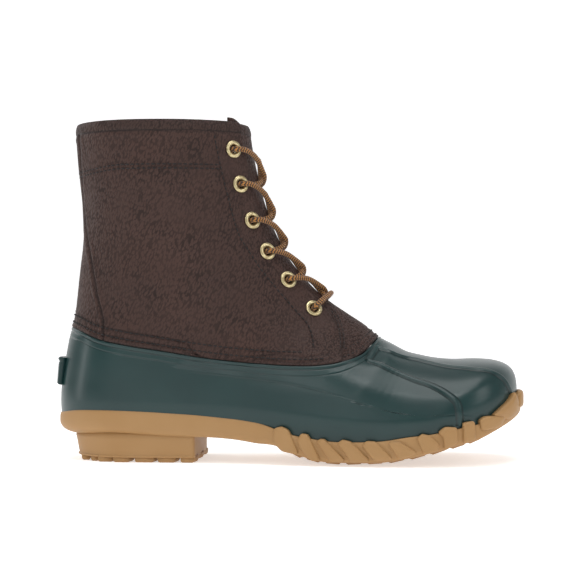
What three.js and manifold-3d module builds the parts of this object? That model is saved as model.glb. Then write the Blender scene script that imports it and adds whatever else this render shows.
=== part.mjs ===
// A lace-up duck boot for the right foot: a moulded rubber shell, a leather upper and a rope-edged sole.
// Millimetres. +X points to the toe, +Y to the inner side of the foot, +Z up.
// The origin is on the floor under the middle of the heel.
import * as THREE from "three";
import { mergeVertices } from "three/addons/utils/BufferGeometryUtils.js";
import Module from "manifold-3d";

const wasm = await Module();
wasm.setup();

// Driving dimensions of the boot.
const LENGTH = 303; // shell, heel to toe
const COLLAR_HEIGHT = 221.5; // floor to the top of the collar
const BALL_WIDTH = 104; // shell at the ball of the foot
const COLLAR_WIDTH = 85; // shaft at the collar
const HEEL_CENTRE = 0.177 * LENGTH; // from the back of the heel to the origin

// Walls and clearances.
const LEATHER_WALL = 1.9;
const RUBBER_WALL = 3;
const TONGUE_WALL = 1.9;
const GAP = 0.3; // between pieces that meet
const RUBBER_SINK = 0.2; // the shell's face lies this far under the leather's
const VAMP_DIP = 3.2; // extra depth of the shell where it meets the thinner front leather

// Collar binding, insole and raised lines of the shell.
const BINDING_HEIGHT = 7.3;
const BINDING_PROUD = 0.9;
const INSOLE_THICK = 3;
const TONGUE_RISE = 3.2; // above the collar
const RIDGE_WIDTH = 4.6;
const RIDGE_PROUD = 0.8;
const LIP_HEIGHT = 6.5;
const LIP_PROUD = 0.6;
const TAB = { width: 26, low: 0.222, high: 0.303, proud: 4.4, flare: 1.8 }; // heights as shares

// Eyelets and lace.
const EYELET = { flange: 5.3, barrel: 3.3, bore: 2.65, thick: 0.9, inner: 3.9, roll: 0.5 };
const LACE_RADIUS = 1.75;
const TONGUE_SINK = LEATHER_WALL + 2.6 * GAP; // the tongue's face under the quarter's, at the vamp
const TONGUE_EYELET_SINK = EYELET.roll + GAP; // extra depth behind the eyelets

// Sole.
const SOLE = {
  heelFront: 40, // breast of the heel block from the origin
  heelInset: 8, // the block stands in from the cup at the back
  heelSideInset: 3,
  bandProud: 0.7, // smooth band over the shell at heel and waist
  valleyProud: 2.3, // rope edge, between its strands
  strandProud: 4.4, // rope edge, on its strands
  strands: 11, // on each side
  strandRise: 2.4, // a strand's top above the valley beside it
  ropeStart: 0.49, // share of the length where the rope edge begins
  grooveDepth: 2.4,
  grooveWidth: 3,
};

// The line over the toe, vamp, instep and shaft front, from the toe to above the collar.
// x: share of the length from the heel's back. z: share of the collar height.
// round: how far below the line the full width is reached, as a share of the ball width.
// full: how square (+) or ridged (-) the section is under the line.
const TOP_LINE = [
  { x: 1.042, z: 0.3025, round: 0.3, full: 0.2 },
  { x: 0.969, z: 0.3043, round: 0.3, full: 0.2 },
  { x: 0.91, z: 0.3034, round: 0.31, full: 0.2 },
  { x: 0.854, z: 0.3007, round: 0.35, full: 0.17 },
  { x: 0.804, z: 0.3088, round: 0.4, full: 0.14 },
  { x: 0.765, z: 0.3237, round: 0.44, full: 0.1 },
  { x: 0.7303, z: 0.3562, round: 0.47, full: 0.05 },
  { x: 0.703, z: 0.381, round: 0.49, full: 0 },
  { x: 0.6762, z: 0.4126, round: 0.51, full: -0.06 },
  { x: 0.637, z: 0.4488, round: 0.54, full: -0.12 },
  { x: 0.5974, z: 0.4858, round: 0.56, full: -0.16 },
  { x: 0.5716, z: 0.5147, round: 0.57, full: -0.16 },
  { x: 0.542, z: 0.5576, round: 0.58, full: -0.14 },
  { x: 0.5122, z: 0.6095, round: 0.59, full: -0.12 },
  { x: 0.4908, z: 0.6637, round: 0.59, full: -0.1 },
  { x: 0.4726, z: 0.7223, round: 0.59, full: -0.08 },
  { x: 0.4578, z: 0.7856, round: 0.59, full: -0.06 },
  { x: 0.4462, z: 0.8488, round: 0.59, full: -0.04 },
  { x: 0.4363, z: 0.9165, round: 0.59, full: -0.02 },
  { x: 0.4297, z: 0.9752, round: 0.59, full: 0 },
  { x: 0.4248, z: 1.0384, round: 0.59, full: 0 },
  { x: 0.4215, z: 1.12, round: 0.59, full: 0 },
];

// The line up the back, from under the heel to above the collar, with the same columns.
const BACK_LINE = [
  { x: 0.0254, z: -0.02, round: 0.42, full: 0.05 },
  { x: 0.0106, z: 0.0632, round: 0.43, full: 0.05 },
  { x: 0.0023, z: 0.1174, round: 0.44, full: 0.05 },
  { x: -0.001, z: 0.1716, round: 0.44, full: 0.05 },
  { x: 0.0003, z: 0.2167, round: 0.44, full: 0.05 },
  { x: 0.0046, z: 0.2619, round: 0.44, full: 0.04 },
  { x: 0.0102, z: 0.307, round: 0.43, full: 0.04 },
  { x: 0.0175, z: 0.3612, round: 0.43, full: 0.03 },
  { x: 0.0248, z: 0.3973, round: 0.43, full: 0.02 },
  { x: 0.0303, z: 0.4289, round: 0.43, full: 0.02 },
  { x: 0.0346, z: 0.474, round: 0.44, full: 0.01 },
  { x: 0.0386, z: 0.5282, round: 0.45, full: 0 },
  { x: 0.0432, z: 0.5869, round: 0.46, full: 0 },
  { x: 0.0485, z: 0.6501, round: 0.47, full: 0 },
  { x: 0.0498, z: 0.6998, round: 0.48, full: 0 },
  { x: 0.0485, z: 0.7494, round: 0.49, full: 0 },
  { x: 0.0436, z: 0.8217, round: 0.5, full: 0 },
  { x: 0.0376, z: 0.8849, round: 0.5, full: 0 },
  { x: 0.0337, z: 0.939, round: 0.5, full: 0 },
  { x: 0.032, z: 0.9932, round: 0.5, full: 0 },
  { x: 0.032, z: 1.12, round: 0.5, full: 0 },
];

// Plan of the foot. half: half width as a share of the ball width. bend: the middle line's place
// towards the inner side. crown: how far the top leans to the inner side. Both as the same share.
// feather: height of the shell's lower edge as a share of the collar height.
const PLAN = [
  { x: -0.02, half: 0.352, bend: 0, crown: 0, feather: 0.099 },
  { x: 0.12, half: 0.356, bend: 0, crown: 0, feather: 0.097 },
  { x: 0.22, half: 0.352, bend: -0.004, crown: 0, feather: 0.095 },
  { x: 0.33, half: 0.35, bend: -0.014, crown: 0.01, feather: 0.09 },
  { x: 0.44, half: 0.366, bend: -0.029, crown: 0.025, feather: 0.081 },
  { x: 0.55, half: 0.414, bend: -0.036, crown: 0.05, feather: 0.066 },
  { x: 0.66, half: 0.465, bend: -0.028, crown: 0.075, feather: 0.053 },
  { x: 0.74, half: 0.495, bend: -0.014, crown: 0.088, feather: 0.052 },
  { x: 0.81, half: 0.507, bend: 0.001, crown: 0.092, feather: 0.063 },
  { x: 0.88, half: 0.51, bend: 0.016, crown: 0.085, feather: 0.086 },
  { x: 0.94, half: 0.505, bend: 0.035, crown: 0.07, feather: 0.115 },
  { x: 1.01, half: 0.5, bend: 0.058, crown: 0.055, feather: 0.155 },
];

// Half width of the shaft as a share of the collar width, by share of the collar height.
const SHAFT = [
  { z: 0.3, half: 0.425 },
  { z: 0.42, half: 0.42 },
  { z: 0.52, half: 0.42 },
  { z: 0.62, half: 0.43 },
  { z: 0.74, half: 0.455 },
  { z: 0.86, half: 0.48 },
  { z: 1, half: 0.5 },
  { z: 1.12, half: 0.505 },
];
const FOOT_TOP = 0.2; // under this share of the height the foot's plan rules
const SHAFT_START = 0.5; // over this share the shaft's width rules
const TOE_ROUND = 0.54; // length of the toe's curve in plan, as a share of the ball width
const CORNER_POWER = 5; // how tightly two of the form's rounds meet
const TUCK = 0.075; // how far the side draws in at the feather, as a share of the half width
const TUCK_HEIGHT = 0.085; // as a share of the collar height
const UNDERSIDE = 0.045; // the form runs this far below its feather, as a share of the height

// The planes of the form's sections, from the toe to above the collar: where each stands, as
// shares of the length and the collar height, and how it leans, in degrees from level.
const SECTION_PLANES = [
  { x: 0.985, z: 0.105, lean: 44 },
  { x: 0.965, z: 0.125, lean: 45 },
  { x: 0.93, z: 0.14, lean: 47 },
  { x: 0.87, z: 0.15, lean: 54 },
  { x: 0.78, z: 0.16, lean: 68 },
  { x: 0.68, z: 0.185, lean: 72 },
  { x: 0.58, z: 0.23, lean: 62 },
  { x: 0.47, z: 0.28, lean: 47 },
  { x: 0.38, z: 0.33, lean: 35 },
  { x: 0.32, z: 0.39, lean: 27 },
  { x: 0.28, z: 0.46, lean: 21.5 },
  { x: 0.255, z: 0.55, lean: 17 },
  { x: 0.24, z: 0.66, lean: 12 },
  { x: 0.235, z: 0.8, lean: 6 },
  { x: 0.23, z: 0.93, lean: 1.8 },
  { x: 0.23, z: 1, lean: 0 },
  { x: 0.23, z: 1.09, lean: 0 },
];

// Where leather and rubber meet, seen from the side, in shares of the length and collar height.
const JOINT = [
  { x: 0, z: 0.405 },
  { x: 0.046, z: 0.3905 },
  { x: 0.1, z: 0.3625 },
  { x: 0.16, z: 0.345 },
  { x: 0.24, z: 0.328 },
  { x: 0.34, z: 0.307 },
  { x: 0.44, z: 0.2935 },
  { x: 0.52, z: 0.2875 },
  { x: 0.58, z: 0.289 },
  { x: 0.625, z: 0.3 },
  { x: 0.658, z: 0.3195 },
  { x: 0.685, z: 0.3495 },
  { x: 0.706, z: 0.379 },
  { x: 0.73, z: 0.42 },
];

// The quarters' front edges in the side view, from under the joint to above the collar.
const QUARTER_EDGE = [
  { x: 0.624, z: 0.26 },
  { x: 0.6225, z: 0.33 },
  { x: 0.6182, z: 0.368 },
  { x: 0.6095, z: 0.402 },
  { x: 0.598, z: 0.43 },
  { x: 0.5775, z: 0.4625 },
  { x: 0.547, z: 0.507 },
  { x: 0.512, z: 0.5475 },
  { x: 0.4807, z: 0.605 },
  { x: 0.4487, z: 0.709 },
  { x: 0.4295, z: 0.7946 },
  { x: 0.4206, z: 0.8713 },
  { x: 0.412, z: 0.928 },
  { x: 0.406, z: 0.975 },
  { x: 0.404, z: 1 },
  { x: 0.402, z: 1.1 },
];
const TONGUE_LAP = 8; // the tongue runs this far under each quarter

// Eyelets of each side in the side view, from the collar down.
const EYELETS = [
  { x: 0.3902, z: 0.9165 },
  { x: 0.405, z: 0.8149 },
  { x: 0.4295, z: 0.7088 },
  { x: 0.4615, z: 0.6185 },
  { x: 0.5057, z: 0.535 },
  { x: 0.5605, z: 0.4506 },
];

// Upper edge of the sole outside, and its underside, by share of the length and collar height.
const SOLE_EDGE = [
  { x: -0.02, rim: 0.142, under: 0.0768 },
  { x: 0.045, rim: 0.157, under: 0.0768 },
  { x: 0.11, rim: 0.158, under: 0.0768 },
  { x: 0.18, rim: 0.153, under: 0.0768 },
  { x: 0.25, rim: 0.147, under: 0.0768 },
  { x: 0.31, rim: 0.142, under: 0.0768 },
  { x: 0.362, rim: 0.1355, under: 0.0745 },
  { x: 0.421, rim: 0.1265, under: 0.0655 },
  { x: 0.477, rim: 0.111, under: 0.0485 },
  { x: 0.514, rim: 0.094, under: 0.03 },
  { x: 0.56, rim: 0.082, under: 0.008 },
  { x: 0.599, rim: 0.075, under: 0 },
  { x: 0.672, rim: 0.0745, under: 0 },
  { x: 0.712, rim: 0.078, under: 0.003 },
  { x: 0.76, rim: 0.089, under: 0.014 },
  { x: 0.81, rim: 0.0975, under: 0.03 },
  { x: 0.867, rim: 0.114, under: 0.052 },
  { x: 0.91, rim: 0.127, under: 0.067 },
  { x: 0.94, rim: 0.146, under: 0.086 },
  { x: 0.975, rim: 0.171, under: 0.11 },
  { x: 1, rim: 0.199, under: 0.128 },
  { x: 1.02, rim: 0.205, under: 0.14 },
];

// Raised lines over the toe, in plan: share of the length and of half the ball width, outer side
// negative.
const RIDGES = [
  [
    { x: 0.69, y: -0.02 },
    { x: 0.8, y: -0.02 },
    { x: 0.9, y: 0.01 },
    { x: 1.03, y: 0.05 },
  ],
  [
    { x: 0.668, y: -0.4 },
    { x: 0.73, y: -0.5 },
    { x: 0.8, y: -0.62 },
    { x: 0.85, y: -0.75 },
    { x: 0.885, y: -1.2 },
  ],
  [
    { x: 0.668, y: 0.46 },
    { x: 0.73, y: 0.58 },
    { x: 0.8, y: 0.72 },
    { x: 0.85, y: 0.86 },
    { x: 0.885, y: 1.3 },
  ],
];

const LEATHER = { color: 0x483a34, roughness: 0.55, metalness: 0 };
const RUBBER = { color: 0x2b4441, roughness: 0.35, metalness: 0 };
const GUM = { color: 0xa98557, roughness: 0.55, metalness: 0 };
const BRASS = { color: 0xc9b98a, roughness: 0.3, metalness: 1 };
const CORD = { color: 0x9a6a34, roughness: 0.8, metalness: 0 };
const FOOTBED = { color: 0x5a5148, roughness: 0.9, metalness: 0 };

const px = (share) => share * LENGTH - HEEL_CENTRE;
const pz = (share) => share * COLLAR_HEIGHT;
const clamp = (v, low, high) => Math.min(high, Math.max(low, v));
const ease = (low, high, v) => {
  const s = clamp((v - low) / (high - low), 0, 1);
  return s * s * (3 - 2 * s);
};

// A smooth curve through a table's column.
function column(rows, key, value) {
  const k = rows.map(key);
  const v = rows.map(value);
  const last = k.length - 1;
  const slope = (i) => (v[i + 1] - v[i]) / (k[i + 1] - k[i]);
  const tangent = k.map((_, i) => {
    if (i === 0) return slope(0);
    if (i === last) return slope(last - 1);
    const before = k[i] - k[i - 1];
    const after = k[i + 1] - k[i];
    return (slope(i) * before + slope(i - 1) * after) / (before + after);
  });
  return (at) => {
    const here = clamp(at, k[0], k[last]);
    let i = 0;
    while (i < last - 1 && here > k[i + 1]) i += 1;
    const span = k[i + 1] - k[i];
    const s = (here - k[i]) / span;
    const a = v[i] * (1 + 2 * s) + span * tangent[i] * s;
    const b = v[i + 1] * (3 - 2 * s) + span * tangent[i + 1] * (s - 1);
    return a * (1 - s) * (1 - s) + b * s * s;
  };
}

// A smooth outline in the side view, which tells how far a point lies inside it.
const LINE_STEPS = 150;
function outline(rows) {
  const points = rows.map((row) => [px(row.x), pz(row.z)]);
  const at = [0];
  for (let i = 1; i < points.length; i += 1) {
    const step = Math.hypot(points[i][0] - points[i - 1][0], points[i][1] - points[i - 1][1]);
    at.push(at[i - 1] + step);
  }
  const table = rows.map((row, i) => ({ ...row, s: at[i] }));
  const total = at[at.length - 1];
  const xs = column(table, (r) => r.s, (r) => px(r.x));
  const zs = column(table, (r) => r.s, (r) => pz(r.z));
  const round = column(table, (r) => r.s, (r) => r.round * BALL_WIDTH);
  const full = column(table, (r) => r.s, (r) => r.full);
  const line = [];
  for (let i = 0; i <= LINE_STEPS; i += 1) {
    const s = (total * i) / LINE_STEPS;
    line.push([xs(s), zs(s), s]);
  }
  return (x, z, inward) => {
    let best = { d: Infinity, s: 0 };
    for (let i = 0; i < LINE_STEPS; i += 1) {
      const [ax, az, as] = line[i];
      const dx = line[i + 1][0] - ax;
      const dz = line[i + 1][1] - az;
      const share = clamp(((x - ax) * dx + (z - az) * dz) / (dx * dx + dz * dz), 0, 1);
      const ex = x - ax - dx * share;
      const ez = z - az - dz * share;
      const d = Math.hypot(ex, ez);
      if (d < Math.abs(best.d)) {
        const side = (dx * ez - dz * ex) * inward;
        best = { d: side < 0 ? -d : d, s: as + share * (line[i + 1][2] - as) };
      }
    }
    return { depth: best.d / round(best.s), full: full(best.s) };
  };
}

const topLine = outline(TOP_LINE);
const backLine = outline(BACK_LINE);
const footHalf = column(PLAN, (r) => px(r.x), (r) => r.half * BALL_WIDTH);
const footBend = column(PLAN, (r) => px(r.x), (r) => r.bend * BALL_WIDTH);
const crownLean = column(PLAN, (r) => px(r.x), (r) => r.crown * BALL_WIDTH);
const feather = column(PLAN, (r) => px(r.x), (r) => pz(r.feather));
const shaftHalf = column(SHAFT, (r) => pz(r.z), (r) => r.half * COLLAR_WIDTH);
const jointHeight = column(JOINT, (r) => px(r.x), (r) => pz(r.z));
const soleRim = column(SOLE_EDGE, (r) => px(r.x), (r) => pz(r.rim));
const soleUnderside = column(SOLE_EDGE, (r) => px(r.x), (r) => pz(r.under));
const soleUnder = (x) => Math.max(0, soleUnderside(x));

// The form's half width at a point of the side view, and how near that point is to its edge:
// edge is 1 on the outline and more outside it.
function formAt(x, z) {
  const top = topLine(x, z, 1);
  const back = backLine(x, z, -1);
  const toe = (px(1) - x) / (TOE_ROUND * BALL_WIDTH);
  const low = (z - feather(x) + pz(UNDERSIDE)) / pz(UNDERSIDE);
  const rounds = [top.depth, back.depth, toe, low].map((d) => Math.max(0, 1 - d));
  const edge = rounds.reduce((sum, r) => sum + r ** CORNER_POWER, 0) ** (1 / CORNER_POWER);
  const mix = ease(pz(FOOT_TOP), pz(SHAFT_START), z);
  const base = footHalf(x) * (1 - mix) + shaftHalf(z) * mix;
  const tuck = 1 - TUCK * (1 - ease(0, pz(TUCK_HEIGHT), z - feather(x)));
  const near = top.depth < back.depth ? top.full : back.full;
  const fill = 1 + near * edge * edge;
  const half = edge >= 1 ? 0 : base * tuck * Math.sqrt(1 - edge * edge) * fill;
  const lean = clamp((z - feather(x)) / (pz(0.3) - feather(x)), 0, 1.2);
  const middle = footBend(x) * (1 - mix) + crownLean(x) * lean * (1 - ease(pz(0.35), pz(0.7), z));
  return { half, middle, edge };
}

// The form's sections: each is a plane across the side view, cut off by the outline.
const planeX = column(SECTION_PLANES, (r) => SECTION_PLANES.indexOf(r), (r) => px(r.x));
const planeZ = column(SECTION_PLANES, (r) => SECTION_PLANES.indexOf(r), (r) => pz(r.z));
const planeLean = column(SECTION_PLANES, (r) => SECTION_PLANES.indexOf(r), (r) => r.lean);
const FIRST = 0.35;
const LAST = SECTION_PLANES.length - 1;
const REACH_STEP = 3;
const HALVINGS = 22;
const sectionMemo = new Map();
function section(t) {
  if (sectionMemo.has(t)) return sectionMemo.get(t);
  const [x, z] = [planeX(t), planeZ(t)];
  const lean = THREE.MathUtils.degToRad(planeLean(t));
  const [dx, dz] = [Math.cos(lean), Math.sin(lean)];
  const reach = (sign) => {
    let inside = 0;
    while (formAt(x + dx * sign * (inside + REACH_STEP), z + dz * sign * (inside + REACH_STEP)).edge < 1)
      inside += REACH_STEP;
    let outside = inside + REACH_STEP;
    for (let i = 0; i < HALVINGS; i += 1) {
      const half = (inside + outside) / 2;
      if (formAt(x + dx * sign * half, z + dz * sign * half).edge < 1) inside = half;
      else outside = half;
    }
    return inside;
  };
  const made = { x, z, dx, dz, front: reach(1), back: reach(-1) };
  sectionMemo.set(t, made);
  return made;
}

// A point of the form: t counts the sections, around runs from the front (0) by the outer side
// to the back (half a turn) and on by the inner side.
function formPoint(t, around) {
  const s = section(t);
  const along = (s.front - s.back) / 2 + ((s.front + s.back) / 2) * Math.cos(around);
  const x = s.x + s.dx * along;
  const z = s.z + s.dz * along;
  const f = formAt(x, z);
  const side = Math.sin(around) > 0 ? -1 : 1;
  const ends = Math.abs(Math.sin(around)) < 1e-6 ? 0 : 1;
  return new THREE.Vector3(x, f.middle + side * f.half * ends, z);
}

const NUDGE = 0.02;
function formNormal(t, around) {
  const turn = NUDGE * 2;
  const along = formPoint(t + NUDGE, around).sub(formPoint(t - NUDGE, around));
  const across = formPoint(t, around + turn).sub(formPoint(t, around - turn));
  return along.cross(across).normalize();
}

function solid(vertices, triangles) {
  const made = new wasm.Manifold(
    new wasm.Mesh({
      numProp: 3,
      vertProperties: new Float32Array(vertices.flat()),
      triVerts: new Uint32Array(triangles.flat()),
    }),
  );
  return made;
}

function solidOf(geometry) {
  const plain = geometry.index ? geometry.toNonIndexed() : geometry.clone();
  plain.deleteAttribute("normal");
  plain.deleteAttribute("uv");
  const merged = mergeVertices(plain, 1e-4);
  return new wasm.Manifold(
    new wasm.Mesh({
      numProp: 3,
      vertProperties: merged.attributes.position.array,
      triVerts: new Uint32Array(merged.index.array),
    }),
  );
}

// A point of the form in the side view, as its section and its turn round it.
function chartOf(x, z) {
  let [low, high] = [FIRST, LAST];
  for (let i = 0; i < HALVINGS; i += 1) {
    const t = (low + high) / 2;
    const lean = THREE.MathUtils.degToRad(planeLean(t));
    const above = (z - planeZ(t)) * Math.cos(lean) - (x - planeX(t)) * Math.sin(lean);
    if (above > 0) low = t;
    else high = t;
  }
  const s = section(low);
  const along = (x - s.x) * s.dx + (z - s.z) * s.dz;
  const share = (2 * along - s.front + s.back) / (s.front + s.back);
  return { t: low, around: Math.acos(clamp(share, -1, 1)) };
}

// The section at which a line round the form is reached, going up at a given turn.
function sectionAt(around, isUnder) {
  let [low, high] = [FIRST, LAST];
  for (let i = 0; i < HALVINGS; i += 1) {
    const t = (low + high) / 2;
    if (isUnder(formPoint(t, around))) low = t;
    else high = t;
  }
  return low;
}
const atJoint = (around, drop) => sectionAt(around, (p) => p.z < jointHeight(p.x) - drop);
const atHeight = (around, height) => sectionAt(around, (p) => p.z < height);

// The quarter's front edge as sections and turns, from the joint (0) to a height (1).
const edgeLine = (() => {
  const points = QUARTER_EDGE.map((row) => ({ x: px(row.x), z: pz(row.z), s: 0 }));
  for (let i = 1; i < points.length; i += 1)
    points[i].s = points[i - 1].s + Math.hypot(points[i].x - points[i - 1].x, points[i].z - points[i - 1].z);
  const x = column(points, (p) => p.s, (p) => p.x);
  const z = column(points, (p) => p.s, (p) => p.z);
  return { x, z, length: points[points.length - 1].s };
})();
function edgeBetween(drop, height) {
  const reach = (isUnder) => {
    let [low, high] = [0, edgeLine.length];
    for (let i = 0; i < HALVINGS; i += 1) {
      const s = (low + high) / 2;
      if (isUnder(edgeLine.x(s), edgeLine.z(s))) low = s;
      else high = s;
    }
    return low;
  };
  const start = reach((x, z) => z < jointHeight(x) - drop);
  const end = reach((x, z) => z < height);
  return (v) => {
    const s = start + (end - start) * v;
    return chartOf(edgeLine.x(s), edgeLine.z(s));
  };
}

function closedSolid(vertices, triangles) {
  const made = solid(vertices, triangles);
  if (made.volume() > 0) return made;
  return solid(vertices, triangles.map(([a, b, c]) => [a, c, b]));
}

const lifted = (t, around, lift) => formPoint(t, around).addScaledVector(formNormal(t, around), lift);

// A wall over the form. rows and columns count its steps. chart(v, u) gives a section and a turn,
// face and back give how far the two faces stand from the form there.
function wallSolid(rows, columns, chart, face, back) {
  const vertices = [];
  const triangles = [];
  for (const skin of [face, back])
    rows.forEach((v) =>
      columns.forEach((u) => {
        const { t, around } = chart(v, u);
        vertices.push(lifted(t, around, skin(v, u, t, around)).toArray());
      }),
    );
  const [n, m] = [rows.length, columns.length];
  const id = (skin, i, j) => (skin * n + i) * m + j;
  const quad = (a, b, c, d) => triangles.push([a, b, c], [a, c, d]);
  for (let i = 0; i < n - 1; i += 1)
    for (let j = 0; j < m - 1; j += 1) {
      quad(id(0, i, j), id(0, i, j + 1), id(0, i + 1, j + 1), id(0, i + 1, j));
      quad(id(1, i, j), id(1, i + 1, j), id(1, i + 1, j + 1), id(1, i, j + 1));
    }
  for (let j = 0; j < m - 1; j += 1) {
    quad(id(0, 0, j), id(1, 0, j), id(1, 0, j + 1), id(0, 0, j + 1));
    quad(id(0, n - 1, j), id(0, n - 1, j + 1), id(1, n - 1, j + 1), id(1, n - 1, j));
  }
  for (let i = 0; i < n - 1; i += 1) {
    quad(id(0, i, 0), id(0, i + 1, 0), id(1, i + 1, 0), id(1, i, 0));
    quad(id(0, i, m - 1), id(1, i, m - 1), id(1, i + 1, m - 1), id(0, i + 1, m - 1));
  }
  return closedSolid(vertices, triangles);
}

// A slab across the whole boot whose side view is a closed list of points.
const SPAN = 2 * BALL_WIDTH;
function sideSlab(points) {
  const shape = new THREE.Shape(points.map(([x, z]) => new THREE.Vector2(x, z)));
  const slab = new THREE.ExtrudeGeometry(shape, { depth: SPAN, bevelEnabled: false });
  slab.rotateX(Math.PI / 2);
  slab.translate(0, SPAN / 2, 0);
  return solidOf(slab);
}

function spread(from, to, count) {
  return Array.from({ length: count }, (_, i) => from + ((to - from) * i) / (count - 1));
}

const BEYOND = 40;
const BACK_X = px(0) - BEYOND;
const TOE_X = px(1) + BEYOND;
const FEATHER_X = spread(px(0), px(1.01), 13);
function above(line, lift, top) {
  return sideSlab([
    [BACK_X, line(px(0)) + lift],
    ...FEATHER_X.map((x) => [x, line(x) + lift]),
    [TOE_X, line(px(1.01)) + lift],
    [TOE_X, top],
    [BACK_X, top],
  ]);
}

// The rubber shell's rings: plain ones over the form, then the raised band under the leather.
const QUARTER_STEPS = 11; // columns from a quarter's front edge to the back
const VAMP_STEPS = 4; // columns from the front's middle to a quarter's front edge
const SHELL_ROWS = 11;
const LIP_STEP = 0.8; // height over which the band rises
const shellRings = [
  ...spread(0, 1, SHELL_ROWS).map((share) => ({ share, drop: LIP_HEIGHT + LIP_STEP, lip: 0 })),
  { share: 1, drop: LIP_HEIGHT, lip: LIP_PROUD },
  { share: 1, drop: GAP / 2, lip: LIP_PROUD },
];
const quarterTurn = edgeBetween(0, COLLAR_HEIGHT)(0).around;
const backShares = spread(0, 1, QUARTER_STEPS + 1).map((s) => s * (0.8 + 0.2 * s));
const vampShares = spread(0, 1, VAMP_STEPS + 1);
const halfTurns = [
  ...vampShares.slice(0, -1).map((s) => quarterTurn * s),
  ...backShares.map((s) => quarterTurn + (Math.PI - quarterTurn) * s),
];
const shellTurns = [...halfTurns, ...halfTurns.slice(1, -1).map((a) => 2 * Math.PI - a).reverse()];
const shellCharts = shellRings.map(({ share, drop }) =>
  shellTurns.map((around) => FIRST + (atJoint(around, drop) - FIRST) * share),
);

// How far the shell's face lies from the form: under the leather's face, and deeper at the vamp.
function vampDip(x, around) {
  const turn = Math.min(around, 2 * Math.PI - around) / quarterTurn;
  return VAMP_DIP * (1 - ease(px(0.699), px(0.79), x)) * (1 - ease(0.7, 1.02, turn));
}
const rubberFace = (p, around) => -RUBBER_SINK - vampDip(p.x, around);

// A solid bounded by the shell's rings, grown by an offset. It closes on a point at each end.
function shellForm(grow) {
  const vertices = [];
  const triangles = [];
  shellRings.forEach(({ lip }, i) =>
    shellTurns.forEach((around, j) => {
      const t = shellCharts[i][j];
      const p = formPoint(t, around);
      const lift = rubberFace(p, around) + grow(p, lip);
      vertices.push(p.addScaledVector(formNormal(t, around), lift).toArray());
    }),
  );
  const n = shellTurns.length;
  const ring = (i, j) => i * n + (j % n);
  const top = shellRings.length - 1;
  for (let i = 0; i < top; i += 1)
    for (let j = 0; j < n; j += 1) {
      triangles.push([ring(i, j), ring(i, j + 1), ring(i + 1, j + 1)]);
      triangles.push([ring(i, j), ring(i + 1, j + 1), ring(i + 1, j)]);
    }
  for (const end of [0, top]) {
    const middle = new THREE.Vector3();
    for (let j = 0; j < n; j += 1) middle.add(new THREE.Vector3(...vertices[ring(end, j)]));
    vertices.push(middle.divideScalar(n).toArray());
    const hub = vertices.length - 1;
    for (let j = 0; j < n; j += 1)
      triangles.push(end ? [hub, ring(end, j), ring(end, j + 1)] : [hub, ring(end, j + 1), ring(end, j)]);
  }
  return closedSolid(vertices, triangles);
}

// The shell's wall, closed along the joint by a strip between its two faces.
function shellWall(proud) {
  const vertices = [];
  const triangles = [];
  const grows = [(p, lip) => lip + proud(p), () => -RUBBER_WALL];
  grows.forEach((grow) =>
    shellRings.forEach(({ lip }, i) =>
      shellTurns.forEach((around, j) => {
        const t = shellCharts[i][j];
        const p = formPoint(t, around);
        const lift = rubberFace(p, around) + grow(p, lip);
        vertices.push(p.addScaledVector(formNormal(t, around), lift).toArray());
      }),
    ),
  );
  const n = shellTurns.length;
  const rings = shellRings.length;
  const id = (skin, i, j) => (skin * rings + i) * n + (j % n);
  for (const skin of [0, 1]) {
    const face = (a, b, c) => triangles.push(skin ? [a, c, b] : [a, b, c]);
    for (let i = 0; i < rings - 1; i += 1)
      for (let j = 0; j < n; j += 1) {
        face(id(skin, i, j), id(skin, i, j + 1), id(skin, i + 1, j + 1));
        face(id(skin, i, j), id(skin, i + 1, j + 1), id(skin, i + 1, j));
      }
    const middle = new THREE.Vector3();
    for (let j = 0; j < n; j += 1) middle.add(new THREE.Vector3(...vertices[id(skin, 0, j)]));
    vertices.push(middle.divideScalar(n).toArray());
    const hub = vertices.length - 1;
    for (let j = 0; j < n; j += 1) face(hub, id(skin, 0, j + 1), id(skin, 0, j));
  }
  for (let j = 0; j < n; j += 1) {
    const [a, b] = [id(0, rings - 1, j), id(0, rings - 1, j + 1)];
    const [c, d] = [id(1, rings - 1, j), id(1, rings - 1, j + 1)];
    triangles.push([a, b, d], [a, d, c]);
  }
  return closedSolid(vertices, triangles);
}

// Raised lines over the toe: a wall grown a little, kept inside narrow upright walls.
const RIDGE_STEPS = 8;
function ridgeWall(points) {
  const line = column(points, (p) => px(p.x), (p) => (p.y * BALL_WIDTH) / 2);
  const xs = spread(px(points[0].x), px(points[points.length - 1].x), RIDGE_STEPS);
  const edge = (side) =>
    xs.map((x) => {
      const slope = line(x + 0.5) - line(x - 0.5);
      const long = Math.hypot(1, slope);
      const away = (side * RIDGE_WIDTH) / 2;
      return new THREE.Vector2(x - (away * slope) / long, line(x) + away / long);
    });
  const shape = new THREE.Shape([...edge(-1), ...edge(1).reverse()]);
  const wall = new THREE.ExtrudeGeometry(shape, { depth: pz(0.5), bevelEnabled: false });
  return solidOf(wall);
}

function rubberShell() {
  const grown = shellWall(() => RIDGE_PROUD);
  const overRim = above(soleRim, SOLE.strandRise + GAP, COLLAR_HEIGHT);
  let made = shellWall(() => 0);
  RIDGES.forEach((points) => {
    made = made.add(grown.intersect(ridgeWall(points)).intersect(overRim));
  });
  const flare = (p) => TAB.flare * (1 - ease(pz(TAB.low), pz(TAB.high), p.z));
  const block = new THREE.BoxGeometry(TAB.width, TAB.width, pz(TAB.high - TAB.low));
  block.translate(px(0), 0, pz((TAB.high + TAB.low) / 2));
  made = made.add(shellWall((p) => TAB.proud + flare(p)).intersect(solidOf(block)));
  return made.intersect(above(feather, GAP, COLLAR_HEIGHT));
}

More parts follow.
